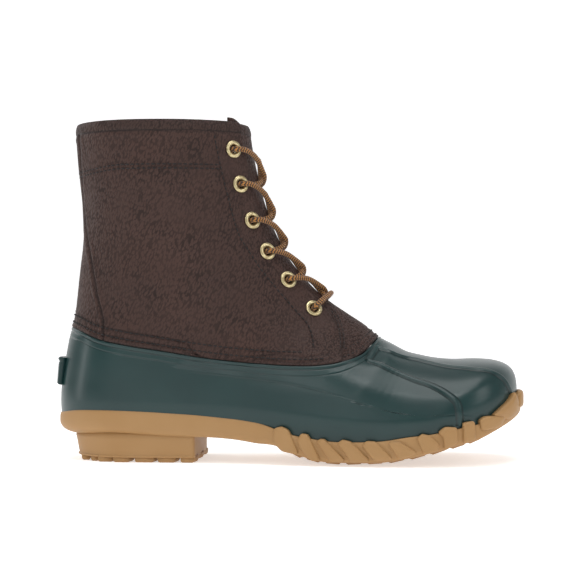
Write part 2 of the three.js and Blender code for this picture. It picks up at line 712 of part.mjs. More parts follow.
function insole() {
  const inside = shellForm(() => -RUBBER_WALL - GAP);
  return inside.intersect(
    sideSlab([
      ...FEATHER_X.map((x) => [x, feather(x) + GAP]),
      ...FEATHER_X.map((x) => [x, feather(x) + GAP + INSOLE_THICK]).reverse(),
    ]),
  );
}

// The quarters: from the joint to the binding, round the back from one front edge to the other.
const QUARTER_ROWS = 11;
const quarterColumns = [
  ...backShares.map((s) => s / 2),
  ...backShares.slice(0, -1).map((s) => 1 - s / 2).reverse(),
];
const EDGE_BLEND = 0.16; // share of the way round over which rows bend to follow the front edge
function quarterChart(drop, height) {
  const edge = edgeBetween(drop, height);
  const plain = (v, around) => {
    const low = atJoint(around, drop);
    return low + (atHeight(around, height) - low) * v;
  };
  return (v, u) => {
    const front = edge(v);
    const share = 1 - Math.abs(2 * u - 1);
    const turn = front.around + (Math.PI - front.around) * share;
    const around = u <= 0.5 ? turn : 2 * Math.PI - turn;
    const bend = share < EDGE_BLEND ? (front.t - plain(v, front.around)) * ease(EDGE_BLEND, 0, share) : 0;
    return { t: plain(v, around) + bend, around };
  };
}

function leatherUpper() {
  const top = COLLAR_HEIGHT - BINDING_HEIGHT - GAP;
  let made = wallSolid(
    spread(0, 1, QUARTER_ROWS),
    quarterColumns,
    quarterChart(-GAP / 2, top),
    () => 0,
    () => -LEATHER_WALL,
  );
  eyeletPlaces().forEach((place) => {
    made = made.subtract(placed(bore(EYELET.barrel + GAP), place));
  });
  return made;
}

// The rolled binding over the collar: it stands proud of both faces of the leather.
const BINDING_ROLL = [
  { v: 0, out: 0.7, into: 0.3 },
  { v: 0.25, out: 1, into: 0.5 },
  { v: 0.75, out: 1, into: 0.5 },
  { v: 1, out: 0.35, into: 0 },
];
function collarBinding() {
  const chart = quarterChart(0, COLLAR_HEIGHT);
  const lowest = COLLAR_HEIGHT - BINDING_HEIGHT;
  const roll = (v, key) => BINDING_PROUD * BINDING_ROLL.find((row) => row.v === v)[key];
  return wallSolid(
    BINDING_ROLL.map((row) => row.v),
    quarterColumns,
    (v, u) => {
      const { around } = chart(1, u);
      return { t: atHeight(around, lowest + BINDING_HEIGHT * v), around };
    },
    (v) => roll(v, "out"),
    (v) => -LEATHER_WALL - roll(v, "into"),
  );
}

// The tongue with the front leather that it grows from, under both quarters. Its columns run from
// one lap (-2) by the quarters' edges (-1 and 1) to the other lap (2).
const TONGUE_ROWS = 12;
const LAP_LIFT = 1.4; // the laps stop this far over the shell
const tongueColumns = [-2, ...vampShares.slice(1).map((s) => -s).reverse(), ...vampShares, 2];
function tongue() {
  const top = COLLAR_HEIGHT + TONGUE_RISE;
  const edge = edgeBetween(-GAP / 2, top);
  const chart = (v, u) => {
    const front = edge(v);
    const speed = formPoint(front.t, front.around + NUDGE).distanceTo(formPoint(front.t, front.around)) / NUDGE;
    const lap = Math.abs(u) > 1;
    const turn = Math.sign(u) * (lap ? front.around + TONGUE_LAP / speed : front.around * Math.abs(u));
    const around = turn < 0 ? turn + 2 * Math.PI : turn;
    const low = atJoint(around, -GAP / 2 - (lap ? LAP_LIFT : 0));
    return { t: low + (atHeight(around, top) - low) * v, around };
  };
  const face = (v, u, t, around) =>
    -TONGUE_SINK - TONGUE_EYELET_SINK * ease(pz(0.35), pz(0.43), formPoint(t, around).z);
  return wallSolid(
    spread(0, 1, TONGUE_ROWS),
    tongueColumns,
    chart,
    face,
    (...at) => face(...at) - TONGUE_WALL,
  );
}

// The sole's outline in plan, at the height of its own edge. side is -1 outside, 1 inside.
function soleOutline(side) {
  const steps = 90;
  const points = [];
  for (let i = 0; i <= steps; i += 1) {
    const x = px(0) + ((px(1) - px(0)) * (1 - Math.cos((Math.PI * i) / steps))) / 2;
    const f = formAt(clamp(x, px(0) + 0.02, px(1) - 0.02), Math.max(soleRim(x), feather(x) + pz(0.03)));
    points.push(new THREE.Vector2(x, f.middle + side * f.half));
  }
  return points;
}

// Walks along an outline by its length, and gives the point and its outward direction.
function walker(points, side) {
  const curve = new THREE.CatmullRomCurve3(points.map((p) => new THREE.Vector3(p.x, p.y, 0)));
  curve.arcLengthDivisions = 600;
  return (share) => {
    const u = clamp(share, 0, 1);
    const p = curve.getPointAt(u);
    const way = curve.getTangentAt(clamp(u, 0.004, 0.996));
    const out = new THREE.Vector2(-way.y, way.x).multiplyScalar(side);
    if (u < 0.004) out.set(-1, 0);
    if (u > 0.996) out.set(1, 0);
    return { p, out };
  };
}

// Stations round one side of the sole, as shares of its outline: plain ones at heel and waist,
// then four for each strand of the rope edge.
const PLAIN_STATIONS = 13;
const STRAND_SHAPE = [0.08, 0.34, 0.7, 0.94]; // where a strand rises, tops and falls
function soleStations() {
  const start = SOLE.ropeStart;
  const list = spread(0, start, PLAIN_STATIONS).map((s) => ({ s, plain: true }));
  for (let k = 0; k < SOLE.strands; k += 1)
    STRAND_SHAPE.forEach((at, n) => {
      const s = start + ((1 - start) * (k + at)) / SOLE.strands;
      list.push({ s, high: n === 1 || n === 2 });
    });
  list.push({ s: 1, high: true });
  return list;
}

// The rope's slant: how far a strand's top leads its foot, as a share of the outline, by station.
const SLANT = 0.03;
const slant = (s) => (s < SOLE.ropeStart + 0.01 || s > 0.999 ? 0 : SLANT * ease(1, 0.8, s));
const LEVELS = [
  { up: 0, proud: -3 },
  { up: 0.16, proud: -0.5 },
  { up: 0.5, proud: 0 },
  { up: 0.86, proud: -0.2 },
  { up: 1, proud: -1 },
];

function soleBody() {
  const walk = { [-1]: walker(soleOutline(-1), -1), 1: walker(soleOutline(1), 1) };
  const stations = soleStations();
  const count = stations.length;
  const total = 2 * count - 2;
  const vertices = [];
  LEVELS.forEach((level) => {
    for (let j = 0; j < total; j += 1) {
      const side = j < count ? -1 : 1;
      const k = j < count ? j : total - j;
      const { s, plain, high } = stations[k];
      const { p, out } = walk[side](s + slant(s) * (0.5 - level.up));
      const rim = soleRim(p.x) + (high ? SOLE.strandRise : 0);
      const under = soleUnder(p.x);
      const swell = high ? SOLE.strandProud : SOLE.valleyProud;
      const proud = (plain ? SOLE.bandProud : swell) + level.proud;
      vertices.push([p.x + out.x * proud, p.y + out.y * proud, under + (rim - under) * level.up]);
    }
  });
  const triangles = [];
  for (let i = 0; i < LEVELS.length - 1; i += 1)
    for (let j = 0; j < total; j += 1) {
      const [a, b] = [i * total + j, i * total + ((j + 1) % total)];
      triangles.push([a, b, b + total], [a, b + total, a + total]);
    }
  for (const base of [0, (LEVELS.length - 1) * total]) {
    const tri = (a, b, c) => triangles.push(base ? [a, b, c] : [a, c, b]);
    for (let k = 0; k < count - 1; k += 1) {
      const [a, b] = [base + k, base + k + 1];
      const [c, d] = [base + ((total - k) % total), base + total - k - 1];
      if (k === 0) tri(a, b, d);
      else if (k === count - 2) tri(a, b, c);
      else {
        tri(a, b, d);
        tri(a, d, c);
      }
    }
  }
  return closedSolid(vertices, triangles);
}

// The heel block: the cup's outline drawn in, narrower at the floor, closed at the breast.
const HEEL_STEPS = 9;
const HEEL_OVERLAP = 2; // the block runs this far up into the cup
function heelBlock() {
  const outline = [-1, 1].map((side) => soleOutline(side).filter((p) => p.x < SOLE.heelFront));
  const pick = (points) => spread(0, points.length - 1, HEEL_STEPS).map((i) => points[Math.round(i)]);
  const plan = (inset, front) => {
    const reach = SOLE.heelFront - px(0);
    const half = Math.max(...outline[0].map((p) => -p.y));
    const fit = (p) => {
      const along = (p.x - px(0)) / reach;
      const x = px(0) + SOLE.heelInset + inset + along * (reach + front - SOLE.heelInset - inset);
      const y = p.y * ((half - SOLE.heelSideInset - inset / 2) / half);
      return [x, y];
    };
    const outer = pick(outline[0]).map(fit);
    const inner = pick(outline[1]).map(fit).slice(1);
    outer[outer.length - 1][0] = SOLE.heelFront + front;
    inner[inner.length - 1][0] = SOLE.heelFront + front;
    return [...outer, ...inner.reverse()];
  };
  const levels = [
    { z: 0, inset: 4.2, front: 0 },
    { z: SOLE.grooveDepth, inset: 2.2, front: 0 },
    { z: soleUnder(0) + HEEL_OVERLAP, inset: 0, front: 0 },
  ];
  const vertices = levels.flatMap(({ z, inset, front }) => plan(inset, front).map(([x, y]) => [x, y, z]));
  const n = vertices.length / levels.length;
  const triangles = [];
  for (let i = 0; i < levels.length - 1; i += 1)
    for (let j = 0; j < n; j += 1) {
      const [a, b] = [i * n + j, i * n + ((j + 1) % n)];
      triangles.push([a, b, b + n], [a, b + n, a + n]);
    }
  const flat = plan(0, 0).map(([x, y]) => new THREE.Vector2(x, y));
  THREE.ShapeUtils.triangulateShape(flat, []).forEach(([a, b, c]) => {
    const top = (levels.length - 1) * n;
    triangles.push([a, c, b], [top + a, top + b, top + c]);
  });
  return closedSolid(vertices, triangles);
}

// Grooves across the tread, wider at the floor.
function groove(x, floor) {
  const [half, deep] = [SOLE.grooveWidth / 2, SOLE.grooveDepth];
  return sideSlab([
    [x - half - deep / 2, floor - 1],
    [x + half + deep / 2, floor - 1],
    [x + half, floor + deep],
    [x - half, floor + deep],
  ]);
}

const HEEL_GROOVES = 5;
const FORE_GROOVES = [0.6, 0.65, 0.7, 0.75, 0.8, 0.85];
function outsole() {
  const cup = shellForm((p, lip) => lip + GAP);
  const cavity = above(feather, 0, COLLAR_HEIGHT);
  let made = soleBody().add(heelBlock()).subtract(cup.intersect(cavity));
  const pitch = (SOLE.heelFront - px(0) - SOLE.heelInset) / (HEEL_GROOVES + 0.6);
  for (let i = 0; i < HEEL_GROOVES; i += 1)
    made = made.subtract(groove(SOLE.heelFront - pitch * (i + 1) + SOLE.grooveWidth / 2, 0));
  FORE_GROOVES.forEach((share) => {
    made = made.subtract(groove(px(share), soleUnder(px(share))));
  });
  return made;
}

// A point of the form's side face in the side view, and its outward direction.
function sideFace(x, z, side) {
  const at = (dx, dz) => {
    const f = formAt(x + dx, z + dz);
    return new THREE.Vector3(x + dx, f.middle + side * f.half, z + dz);
  };
  const alongX = at(NUDGE, 0).sub(at(-NUDGE, 0));
  const alongZ = at(0, NUDGE).sub(at(0, -NUDGE));
  const normal = alongX.cross(alongZ).normalize();
  if (normal.y * side < 0) normal.negate();
  return { point: at(0, 0), normal };
}

function eyeletPlaces() {
  return [-1, 1].flatMap((side) =>
    EYELETS.map((row, k) => ({ side, k, ...sideFace(px(row.x), pz(row.z), side) })),
  );
}

// Turns a shape made along +Z to stand on a surface point along its normal.
function placed(shape, { point, normal }) {
  const turn = new THREE.Quaternion().setFromUnitVectors(new THREE.Vector3(0, 0, 1), normal);
  const m = new THREE.Matrix4().compose(point, turn, new THREE.Vector3(1, 1, 1));
  return shape.transform(m.elements);
}

const ROUND = 12;
function bore(radius) {
  const cylinder = new THREE.CylinderGeometry(radius, radius, 16, ROUND);
  cylinder.rotateX(Math.PI / 2);
  return solidOf(cylinder);
}

// An eyelet: a domed flange outside, a barrel through the leather and a rolled edge inside.
const EYELET_LIFT = GAP + 0.2; // clears the leather's own curve
function eyeletRing() {
  const { flange, barrel, bore: hole, thick, inner, roll } = EYELET;
  const back = -LEATHER_WALL - GAP;
  const profile = [
    [hole, back - roll],
    [inner, back - roll],
    [barrel, back],
    [barrel, EYELET_LIFT],
    [flange, EYELET_LIFT],
    [flange - 0.8, EYELET_LIFT + thick],
    [hole, EYELET_LIFT + thick],
    [hole, back - roll],
  ];
  const ring = new THREE.LatheGeometry(profile.map(([r, z]) => new THREE.Vector2(r, z)), ROUND);
  ring.rotateX(Math.PI / 2);
  const made = solidOf(ring);
  if (made.volume() > 0) return made;
  const { vertProperties, triVerts } = made.getMesh();
  const vertices = [];
  const triangles = [];
  for (let i = 0; i < vertProperties.length; i += 3) vertices.push(vertProperties.slice(i, i + 3));
  for (let i = 0; i < triVerts.length; i += 3) triangles.push([triVerts[i], triVerts[i + 2], triVerts[i + 1]]);
  return solid(vertices.map((p) => Array.from(p)), triangles);
}

// A stretch of lace along hand-set points.
const LACE_SIDES = 6;
function laceRun(points, steps) {
  const path = new THREE.CatmullRomCurve3(points, false, "centripetal");
  const ring = new THREE.Shape(
    Array.from({ length: LACE_SIDES }, (_, i) => {
      const a = (2 * Math.PI * i) / LACE_SIDES;
      return new THREE.Vector2(LACE_RADIUS * Math.cos(a), LACE_RADIUS * Math.sin(a));
    }),
  );
  return solidOf(new THREE.ExtrudeGeometry(ring, { steps, extrudePath: path, bevelEnabled: false }));
}

// Heights of the lace's middle over the form.
const LACE_LIFT = {
  eyelet: EYELET_LIFT + EYELET.thick + GAP + LACE_RADIUS,
  edge: LACE_RADIUS + 1.2,
  front: LACE_RADIUS + 2,
  tongue: LACE_RADIUS - TONGUE_SINK - TONGUE_EYELET_SINK + 3 * GAP,
};
const sectionOf = (k) => chartOf(px(EYELETS[k].x), pz(EYELETS[k].z)).t;
const quarterEdge = edgeBetween(0, COLLAR_HEIGHT);
const edgeTurn = (t) => {
  let [low, high] = [0, 1];
  for (let i = 0; i < HALVINGS; i += 1) {
    const v = (low + high) / 2;
    if (quarterEdge(v).t < t) low = v;
    else high = v;
  }
  return quarterEdge(low).around;
};
const sideTurn = (around, side) => (side < 0 ? around : 2 * Math.PI - around);
const overEyelet = ({ point, normal }) => point.clone().addScaledVector(normal, LACE_LIFT.eyelet);

// The bar between the lowest eyelets.
function laceBar(places) {
  const last = EYELETS.length - 1;
  const [outer, inner] = [-1, 1].map((side) => places.find((p) => p.side === side && p.k === last));
  const t = sectionOf(last);
  const turn = edgeTurn(t);
  return laceRun(
    [
      overEyelet(outer),
      lifted(t, turn, LACE_LIFT.edge),
      lifted(t, 0, LACE_LIFT.front),
      lifted(t, 2 * Math.PI - turn, LACE_LIFT.edge),
      overEyelet(inner),
    ],
    12,
  );
}

// The two runs that cross between one pair of eyelets and the next pair down.
function laceCross(places, k) {
  const [high, low] = [sectionOf(k), sectionOf(k + 1)];
  const at = (share) => high + (low - high) * share;
  const runs = [-1, 1].map((side) => {
    const start = places.find((p) => p.side === side && p.k === k);
    return laceRun(
      [
        overEyelet(start),
        lifted(at(0.25), sideTurn(edgeTurn(at(0.25)), side), LACE_LIFT.edge),
        lifted(at(0.5), 0, LACE_LIFT.front),
        lifted(at(0.72), sideTurn(edgeTurn(at(0.72)) * 0.62, -side), LACE_LIFT.tongue),
      ],
      9,
    );
  });
  return runs[0].add(runs[1]);
}

// Meshes from solids.
const boot = new THREE.Group();
boot.name = "duck_boot";
function show(name, shape, look) {
  const mesh = shape.getMesh();
  const n = mesh.numProp;
  const places = new Float32Array(mesh.numVert * 3);
  for (let i = 0; i < mesh.numVert; i += 1) places.set(mesh.vertProperties.subarray(i * n, i * n + 3), i * 3);
  const geometry = new THREE.BufferGeometry();
  geometry.setAttribute("position", new THREE.BufferAttribute(places, 3));
  geometry.setIndex(new THREE.BufferAttribute(new Uint32Array(mesh.triVerts), 1));
  geometry.computeVertexNormals();
  const made = new THREE.Mesh(geometry, new THREE.MeshStandardMaterial(look));
  made.name = name;
  boot.add(made);
}

const places = eyeletPlaces();
show("outsole", outsole(), GUM);
show("rubber_shell", rubberShell(), RUBBER);
show("leather_upper", leatherUpper(), LEATHER);
show("tongue", tongue(), LEATHER);
show("collar_binding", collarBinding(), LEATHER);
show("insole", insole(), FOOTBED);
places.forEach((place) => {
  const side = place.side < 0 ? "outer" : "inner";
  show(`eyelet_${side}_${place.k + 1}`, placed(eyeletRing(), place), BRASS);
});
show("lace_bar", laceBar(places), CORD);
for (let k = 0; k < EYELETS.length - 1; k += 1) show(`lace_cross_${k + 1}`, laceCross(places, k), CORD);

export default boot;
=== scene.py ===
"""A lace-up duck boot for the right foot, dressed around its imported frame. Metres, +X to the toe, +Z up."""

import math

import bmesh
import bpy
import numpy as np
from mathutils import Matrix, Vector


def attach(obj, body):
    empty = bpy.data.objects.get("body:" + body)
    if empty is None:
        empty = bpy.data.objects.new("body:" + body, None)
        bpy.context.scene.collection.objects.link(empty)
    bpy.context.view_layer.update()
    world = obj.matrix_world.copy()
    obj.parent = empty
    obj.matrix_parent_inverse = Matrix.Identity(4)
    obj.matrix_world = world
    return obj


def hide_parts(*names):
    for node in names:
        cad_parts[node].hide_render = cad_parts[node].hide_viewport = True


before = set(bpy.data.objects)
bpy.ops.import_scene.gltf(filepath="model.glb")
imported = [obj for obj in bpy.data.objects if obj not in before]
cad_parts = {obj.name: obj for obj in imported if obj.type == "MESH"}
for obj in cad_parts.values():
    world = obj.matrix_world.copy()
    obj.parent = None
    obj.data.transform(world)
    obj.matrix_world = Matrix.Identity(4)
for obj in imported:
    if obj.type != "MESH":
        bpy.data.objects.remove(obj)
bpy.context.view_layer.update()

# Sizes of the boot, as in the part.
LENGTH = 0.303
COLLAR_HEIGHT = 0.2215
BALL_WIDTH = 0.104
COLLAR_WIDTH = 0.085
HEEL_CENTRE = 0.177 * LENGTH
LEATHER_WALL = 0.0019
RUBBER_WALL = 0.003
TONGUE_WALL = 0.0019
GAP = 0.0003
RUBBER_SINK = 0.0002
VAMP_DIP = 0.0032
TONGUE_SINK = 0.00268
TONGUE_EYELET_SINK = 0.0008
TONGUE_RISE = 0.0032
TONGUE_LAP = 0.008
BINDING_HEIGHT = 0.0073
EYELET_FLANGE = 0.0053
EYELET_BORE = 0.00265
LACE_RADIUS = 0.00175
MM = 0.001

# The camera, fitted to the photo's angle.
CAMERA = {"turn": 4.3, "distance": 1.0, "height": 0.1, "aim": (0.0995, 0.0, 0.112), "lens": 93.5}


def add_camera():
    data = bpy.data.cameras.new("camera")
    data.lens = CAMERA["lens"]
    data.sensor_width = 36
    data.clip_end = 50
    camera = bpy.data.objects.new("camera", data)
    bpy.context.collection.objects.link(camera)
    aim = Vector(CAMERA["aim"])
    turn = math.radians(CAMERA["turn"])
    place = Vector((aim.x + CAMERA["distance"] * math.sin(turn), -CAMERA["distance"] * math.cos(turn), CAMERA["height"]))
    camera.location = place
    camera.rotation_euler = (aim - place).to_track_quat("-Z", "Y").to_euler()
    bpy.context.scene.camera = camera


# The form, from the same tables as the part. Columns: x, z, round, full.
TOP_LINE = np.array([
    (1.042, 0.3025, 0.3, 0.2), (0.969, 0.3043, 0.3, 0.2), (0.91, 0.3034, 0.31, 0.2),
    (0.854, 0.3007, 0.35, 0.17), (0.804, 0.3088, 0.4, 0.14), (0.765, 0.3237, 0.44, 0.1),
    (0.7303, 0.3562, 0.47, 0.05), (0.703, 0.381, 0.49, 0), (0.6762, 0.4126, 0.51, -0.06),
    (0.637, 0.4488, 0.54, -0.12), (0.5974, 0.4858, 0.56, -0.16), (0.5716, 0.5147, 0.57, -0.16),
    (0.542, 0.5576, 0.58, -0.14), (0.5122, 0.6095, 0.59, -0.12), (0.4908, 0.6637, 0.59, -0.1),
    (0.4726, 0.7223, 0.59, -0.08), (0.4578, 0.7856, 0.59, -0.06), (0.4462, 0.8488, 0.59, -0.04),
    (0.4363, 0.9165, 0.59, -0.02), (0.4297, 0.9752, 0.59, 0), (0.4248, 1.0384, 0.59, 0),
    (0.4215, 1.12, 0.59, 0),
])
BACK_LINE = np.array([
    (0.0254, -0.02, 0.42, 0.05), (0.0106, 0.0632, 0.43, 0.05), (0.0023, 0.1174, 0.44, 0.05),
    (-0.001, 0.1716, 0.44, 0.05), (0.0003, 0.2167, 0.44, 0.05), (0.0046, 0.2619, 0.44, 0.04),
    (0.0102, 0.307, 0.43, 0.04), (0.0175, 0.3612, 0.43, 0.03), (0.0248, 0.3973, 0.43, 0.02),
    (0.0303, 0.4289, 0.43, 0.02), (0.0346, 0.474, 0.44, 0.01), (0.0386, 0.5282, 0.45, 0),
    (0.0432, 0.5869, 0.46, 0), (0.0485, 0.6501, 0.47, 0), (0.0498, 0.6998, 0.48, 0),
    (0.0485, 0.7494, 0.49, 0), (0.0436, 0.8217, 0.5, 0), (0.0376, 0.8849, 0.5, 0),
    (0.0337, 0.939, 0.5, 0), (0.032, 0.9932, 0.5, 0), (0.032, 1.12, 0.5, 0),
])
# Columns: x, half, bend, crown, feather.
PLAN = np.array([
    (-0.02, 0.352, 0, 0, 0.099), (0.12, 0.356, 0, 0, 0.097), (0.22, 0.352, -0.004, 0, 0.095),
    (0.33, 0.35, -0.014, 0.01, 0.09), (0.44, 0.366, -0.029, 0.025, 0.081),
    (0.55, 0.414, -0.036, 0.05, 0.066), (0.66, 0.465, -0.028, 0.075, 0.053),
    (0.74, 0.495, -0.014, 0.088, 0.052), (0.81, 0.507, 0.001, 0.092, 0.063),
    (0.88, 0.51, 0.016, 0.085, 0.086), (0.94, 0.505, 0.035, 0.07, 0.115),
    (1.01, 0.5, 0.058, 0.055, 0.155),
])
SHAFT = np.array([
    (0.3, 0.425), (0.42, 0.42), (0.52, 0.42), (0.62, 0.43), (0.74, 0.455), (0.86, 0.48), (1, 0.5), (1.12, 0.505),
])
FOOT_TOP, SHAFT_START = 0.2, 0.5
TOE_ROUND, CORNER_POWER = 0.54, 5
TUCK, TUCK_HEIGHT, UNDERSIDE = 0.075, 0.085, 0.045
# Columns: x, z, lean in degrees.
SECTION_PLANES = np.array([
    (0.985, 0.105, 44), (0.965, 0.125, 45), (0.93, 0.14, 47), (0.87, 0.15, 54), (0.78, 0.16, 68),
    (0.68, 0.185, 72), (0.58, 0.23, 62), (0.47, 0.28, 47), (0.38, 0.33, 35), (0.32, 0.39, 27),
    (0.28, 0.46, 21.5), (0.255, 0.55, 17), (0.24, 0.66, 12), (0.235, 0.8, 6), (0.23, 0.93, 1.8),
    (0.23, 1, 0), (0.23, 1.09, 0),
])
JOINT = np.array([
    (0, 0.405), (0.046, 0.3905), (0.1, 0.3625), (0.16, 0.345), (0.24, 0.328), (0.34, 0.307),
    (0.44, 0.2935), (0.52, 0.2875), (0.58, 0.289), (0.625, 0.3), (0.658, 0.3195), (0.685, 0.3495),
    (0.706, 0.379), (0.73, 0.42),
])
QUARTER_EDGE = np.array([
    (0.624, 0.26), (0.6225, 0.33), (0.6182, 0.368), (0.6095, 0.402), (0.598, 0.43), (0.5775, 0.4625),
    (0.547, 0.507), (0.512, 0.5475), (0.4807, 0.605), (0.4487, 0.709), (0.4295, 0.7946),
    (0.4206, 0.8713), (0.412, 0.928), (0.406, 0.975), (0.404, 1), (0.402, 1.1),
])
EYELETS = np.array([
    (0.3902, 0.9165), (0.405, 0.8149), (0.4295, 0.7088), (0.4615, 0.6185), (0.5057, 0.535), (0.5605, 0.4506),
])
# Columns: x, rim, under.
SOLE_EDGE = np.array([
    (-0.02, 0.142, 0.0768), (0.045, 0.157, 0.0768), (0.11, 0.158, 0.0768), (0.18, 0.153, 0.0768),
    (0.25, 0.147, 0.0768), (0.31, 0.142, 0.0768), (0.362, 0.1355, 0.0745), (0.421, 0.1265, 0.0655),
    (0.477, 0.111, 0.0485), (0.514, 0.094, 0.03), (0.56, 0.082, 0.008), (0.599, 0.075, 0),
    (0.672, 0.0745, 0), (0.712, 0.078, 0.003), (0.76, 0.089, 0.014), (0.81, 0.0975, 0.03),
    (0.867, 0.114, 0.052), (0.91, 0.127, 0.067), (0.94, 0.146, 0.086), (0.975, 0.171, 0.11),
    (1, 0.199, 0.128), (1.02, 0.205, 0.14),
])


def px(share):
    return share * LENGTH - HEEL_CENTRE


def pz(share):
    return share * COLLAR_HEIGHT


def ease(low, high, value):
    s = np.clip((value - low) / (high - low), 0, 1)
    return s * s * (3 - 2 * s)


def column(keys, values):
    """A smooth curve through a table's column."""
    k, v = np.asarray(keys, float), np.asarray(values, float)
    h, d = np.diff(k), np.diff(v) / np.diff(k)
    m = np.concatenate([d[:1], (d[1:] * h[:-1] + d[:-1] * h[1:]) / (h[:-1] + h[1:]), d[-1:]])

    def at(x):
        x = np.clip(x, k[0], k[-1])
        i = np.clip(np.searchsorted(k, x, side="right") - 1, 0, len(h) - 1)
        s = (x - k[i]) / h[i]
        a = v[i] * (1 + 2 * s) + h[i] * m[i] * s
        b = v[i + 1] * (3 - 2 * s) + h[i] * m[i + 1] * (s - 1)
        return a * (1 - s) ** 2 + b * s ** 2

    return at


def path_length(points):
    steps = np.linalg.norm(np.diff(points, axis=0), axis=1)
    return np.concatenate([[0], np.cumsum(steps)])


LINE_STEPS = 150
CHUNK = 20000


def outline(rows, inward):
    """How far a point of the side view lies inside a line, in shares of the round's reach there."""
    points = np.column_stack([px(rows[:, 0]), pz(rows[:, 1])])
    s = path_length(points)
    xs, zs = column(s, points[:, 0]), column(s, points[:, 1])
    reach, full = column(s, rows[:, 2] * BALL_WIDTH), column(s, rows[:, 3])
    at = np.linspace(0, s[-1], LINE_STEPS + 1)
    line = np.column_stack([xs(at), zs(at)])
    a, d = line[:-1], np.diff(line, axis=0)
    long = (d ** 2).sum(1)

    def measure(x, z):
        depth, fill = np.empty(x.shape), np.empty(x.shape)
        for n in range(0, len(x), CHUNK):
            ex, ez = x[n:n + CHUNK, None] - a[:, 0], z[n:n + CHUNK, None] - a[:, 1]
            share = np.clip((ex * d[:, 0] + ez * d[:, 1]) / long, 0, 1)
            ex, ez = ex - d[:, 0] * share, ez - d[:, 1] * share
            far = ex ** 2 + ez ** 2
            i = far.argmin(1)
            j = np.arange(len(i))
            side = (d[i, 0] * ez[j, i] - d[i, 1] * ex[j, i]) * inward
            here = at[i] + share[j, i] * (at[1] - at[0])
            depth[n:n + CHUNK] = np.sqrt(far[j, i]) * np.where(side < 0, -1, 1) / reach(here)
            fill[n:n + CHUNK] = full(here)
        return depth, fill

    return measure


top_line = outline(TOP_LINE, 1)
back_line = outline(BACK_LINE, -1)
foot_half = column(px(PLAN[:, 0]), PLAN[:, 1] * BALL_WIDTH)
foot_bend = column(px(PLAN[:, 0]), PLAN[:, 2] * BALL_WIDTH)
crown_lean = column(px(PLAN[:, 0]), PLAN[:, 3] * BALL_WIDTH)
feather = column(px(PLAN[:, 0]), pz(PLAN[:, 4]))
shaft_half = column(pz(SHAFT[:, 0]), SHAFT[:, 1] * COLLAR_WIDTH)
joint_height = column(px(JOINT[:, 0]), pz(JOINT[:, 1]))
sole_rim = column(px(SOLE_EDGE[:, 0]), pz(SOLE_EDGE[:, 1]))
sole_underside = column(px(SOLE_EDGE[:, 0]), pz(SOLE_EDGE[:, 2]))


def form_at(x, z):
    """Half width, middle and nearness to the outline (1 on it) at points of the side view."""
    shape = np.shape(x)
    x, z = np.ravel(x), np.ravel(z)
    top, top_full = top_line(x, z)
    back, back_full = back_line(x, z)
    toe = (px(1) - x) / (TOE_ROUND * BALL_WIDTH)
    low = (z - feather(x) + pz(UNDERSIDE)) / pz(UNDERSIDE)
    rounds = [np.maximum(0, 1 - d) for d in (top, back, toe, low)]
    edge = sum(r ** CORNER_POWER for r in rounds) ** (1 / CORNER_POWER)
    mix = ease(pz(FOOT_TOP), pz(SHAFT_START), z)
    base = foot_half(x) * (1 - mix) + shaft_half(z) * mix
    tuck = 1 - TUCK * (1 - ease(0, pz(TUCK_HEIGHT), z - feather(x)))
    fill = 1 + np.where(top < back, top_full, back_full) * edge * edge
    half = base * tuck * np.sqrt(np.maximum(0, 1 - edge * edge)) * fill
    lean = np.clip((z - feather(x)) / (pz(0.3) - feather(x)), 0, 1.2)
    middle = foot_bend(x) * (1 - mix) + crown_lean(x) * lean * (1 - ease(pz(0.35), pz(0.7), z))
    return half.reshape(shape), middle.reshape(shape), edge.reshape(shape)


FIRST, LAST = 0.35, len(SECTION_PLANES) - 1.0
_rows = np.arange(len(SECTION_PLANES))
plane_x = column(_rows, px(SECTION_PLANES[:, 0]))
plane_z = column(_rows, pz(SECTION_PLANES[:, 1]))
plane_lean = column(_rows, np.radians(SECTION_PLANES[:, 2]))
REACH_STEP, REACH_STEPS, HALVINGS = 0.003, 90, 22


def section_reach(t, sign):
    x, z, lean = plane_x(t), plane_z(t), plane_lean(t)
    dx, dz = np.cos(lean) * sign, np.sin(lean) * sign
    far = REACH_STEP * np.arange(REACH_STEPS)
    edge = form_at(x[:, None] + dx[:, None] * far, z[:, None] + dz[:, None] * far)[2]
    low = far[(edge >= 1).argmax(1)] - REACH_STEP
    high = low + REACH_STEP
    for _ in range(HALVINGS):
        half = (low + high) / 2
        inside = form_at(x + dx * half, z + dz * half)[2] < 1
        low, high = np.where(inside, half, low), np.where(inside, high, half)
    return low


# The whole form on one fine grid of sections and turns, looked up from there on.
GRID_T = np.linspace(FIRST, LAST, 560)
GRID_A = np.linspace(0, 2 * np.pi, 481)
_front, _back = section_reach(GRID_T, 1), section_reach(GRID_T, -1)


def make_grid():
    along = ((_front - _back) / 2)[:, None] + ((_front + _back) / 2)[:, None] * np.cos(GRID_A)
    x = plane_x(GRID_T)[:, None] + np.cos(plane_lean(GRID_T))[:, None] * along
    z = plane_z(GRID_T)[:, None] + np.sin(plane_lean(GRID_T))[:, None] * along
    half, middle, _ = form_at(x, z)
    side = np.where(np.sin(GRID_A) > 0, -1, 1) * (np.abs(np.sin(GRID_A)) > 1e-6)
    points = np.stack([x, middle + side * half, z], axis=-1)
    points[:, -1] = points[:, 0]
    dt = np.gradient(points, axis=0)
    wide = np.concatenate([points[:, -2:-1], points, points[:, 1:2]], axis=1)
    da = (wide[:, 2:] - wide[:, :-2]) / 2
    normal = np.cross(dt, da)
    normal /= np.linalg.norm(normal, axis=-1, keepdims=True)
    return points, normal


GRID_P, GRID_N = make_grid()


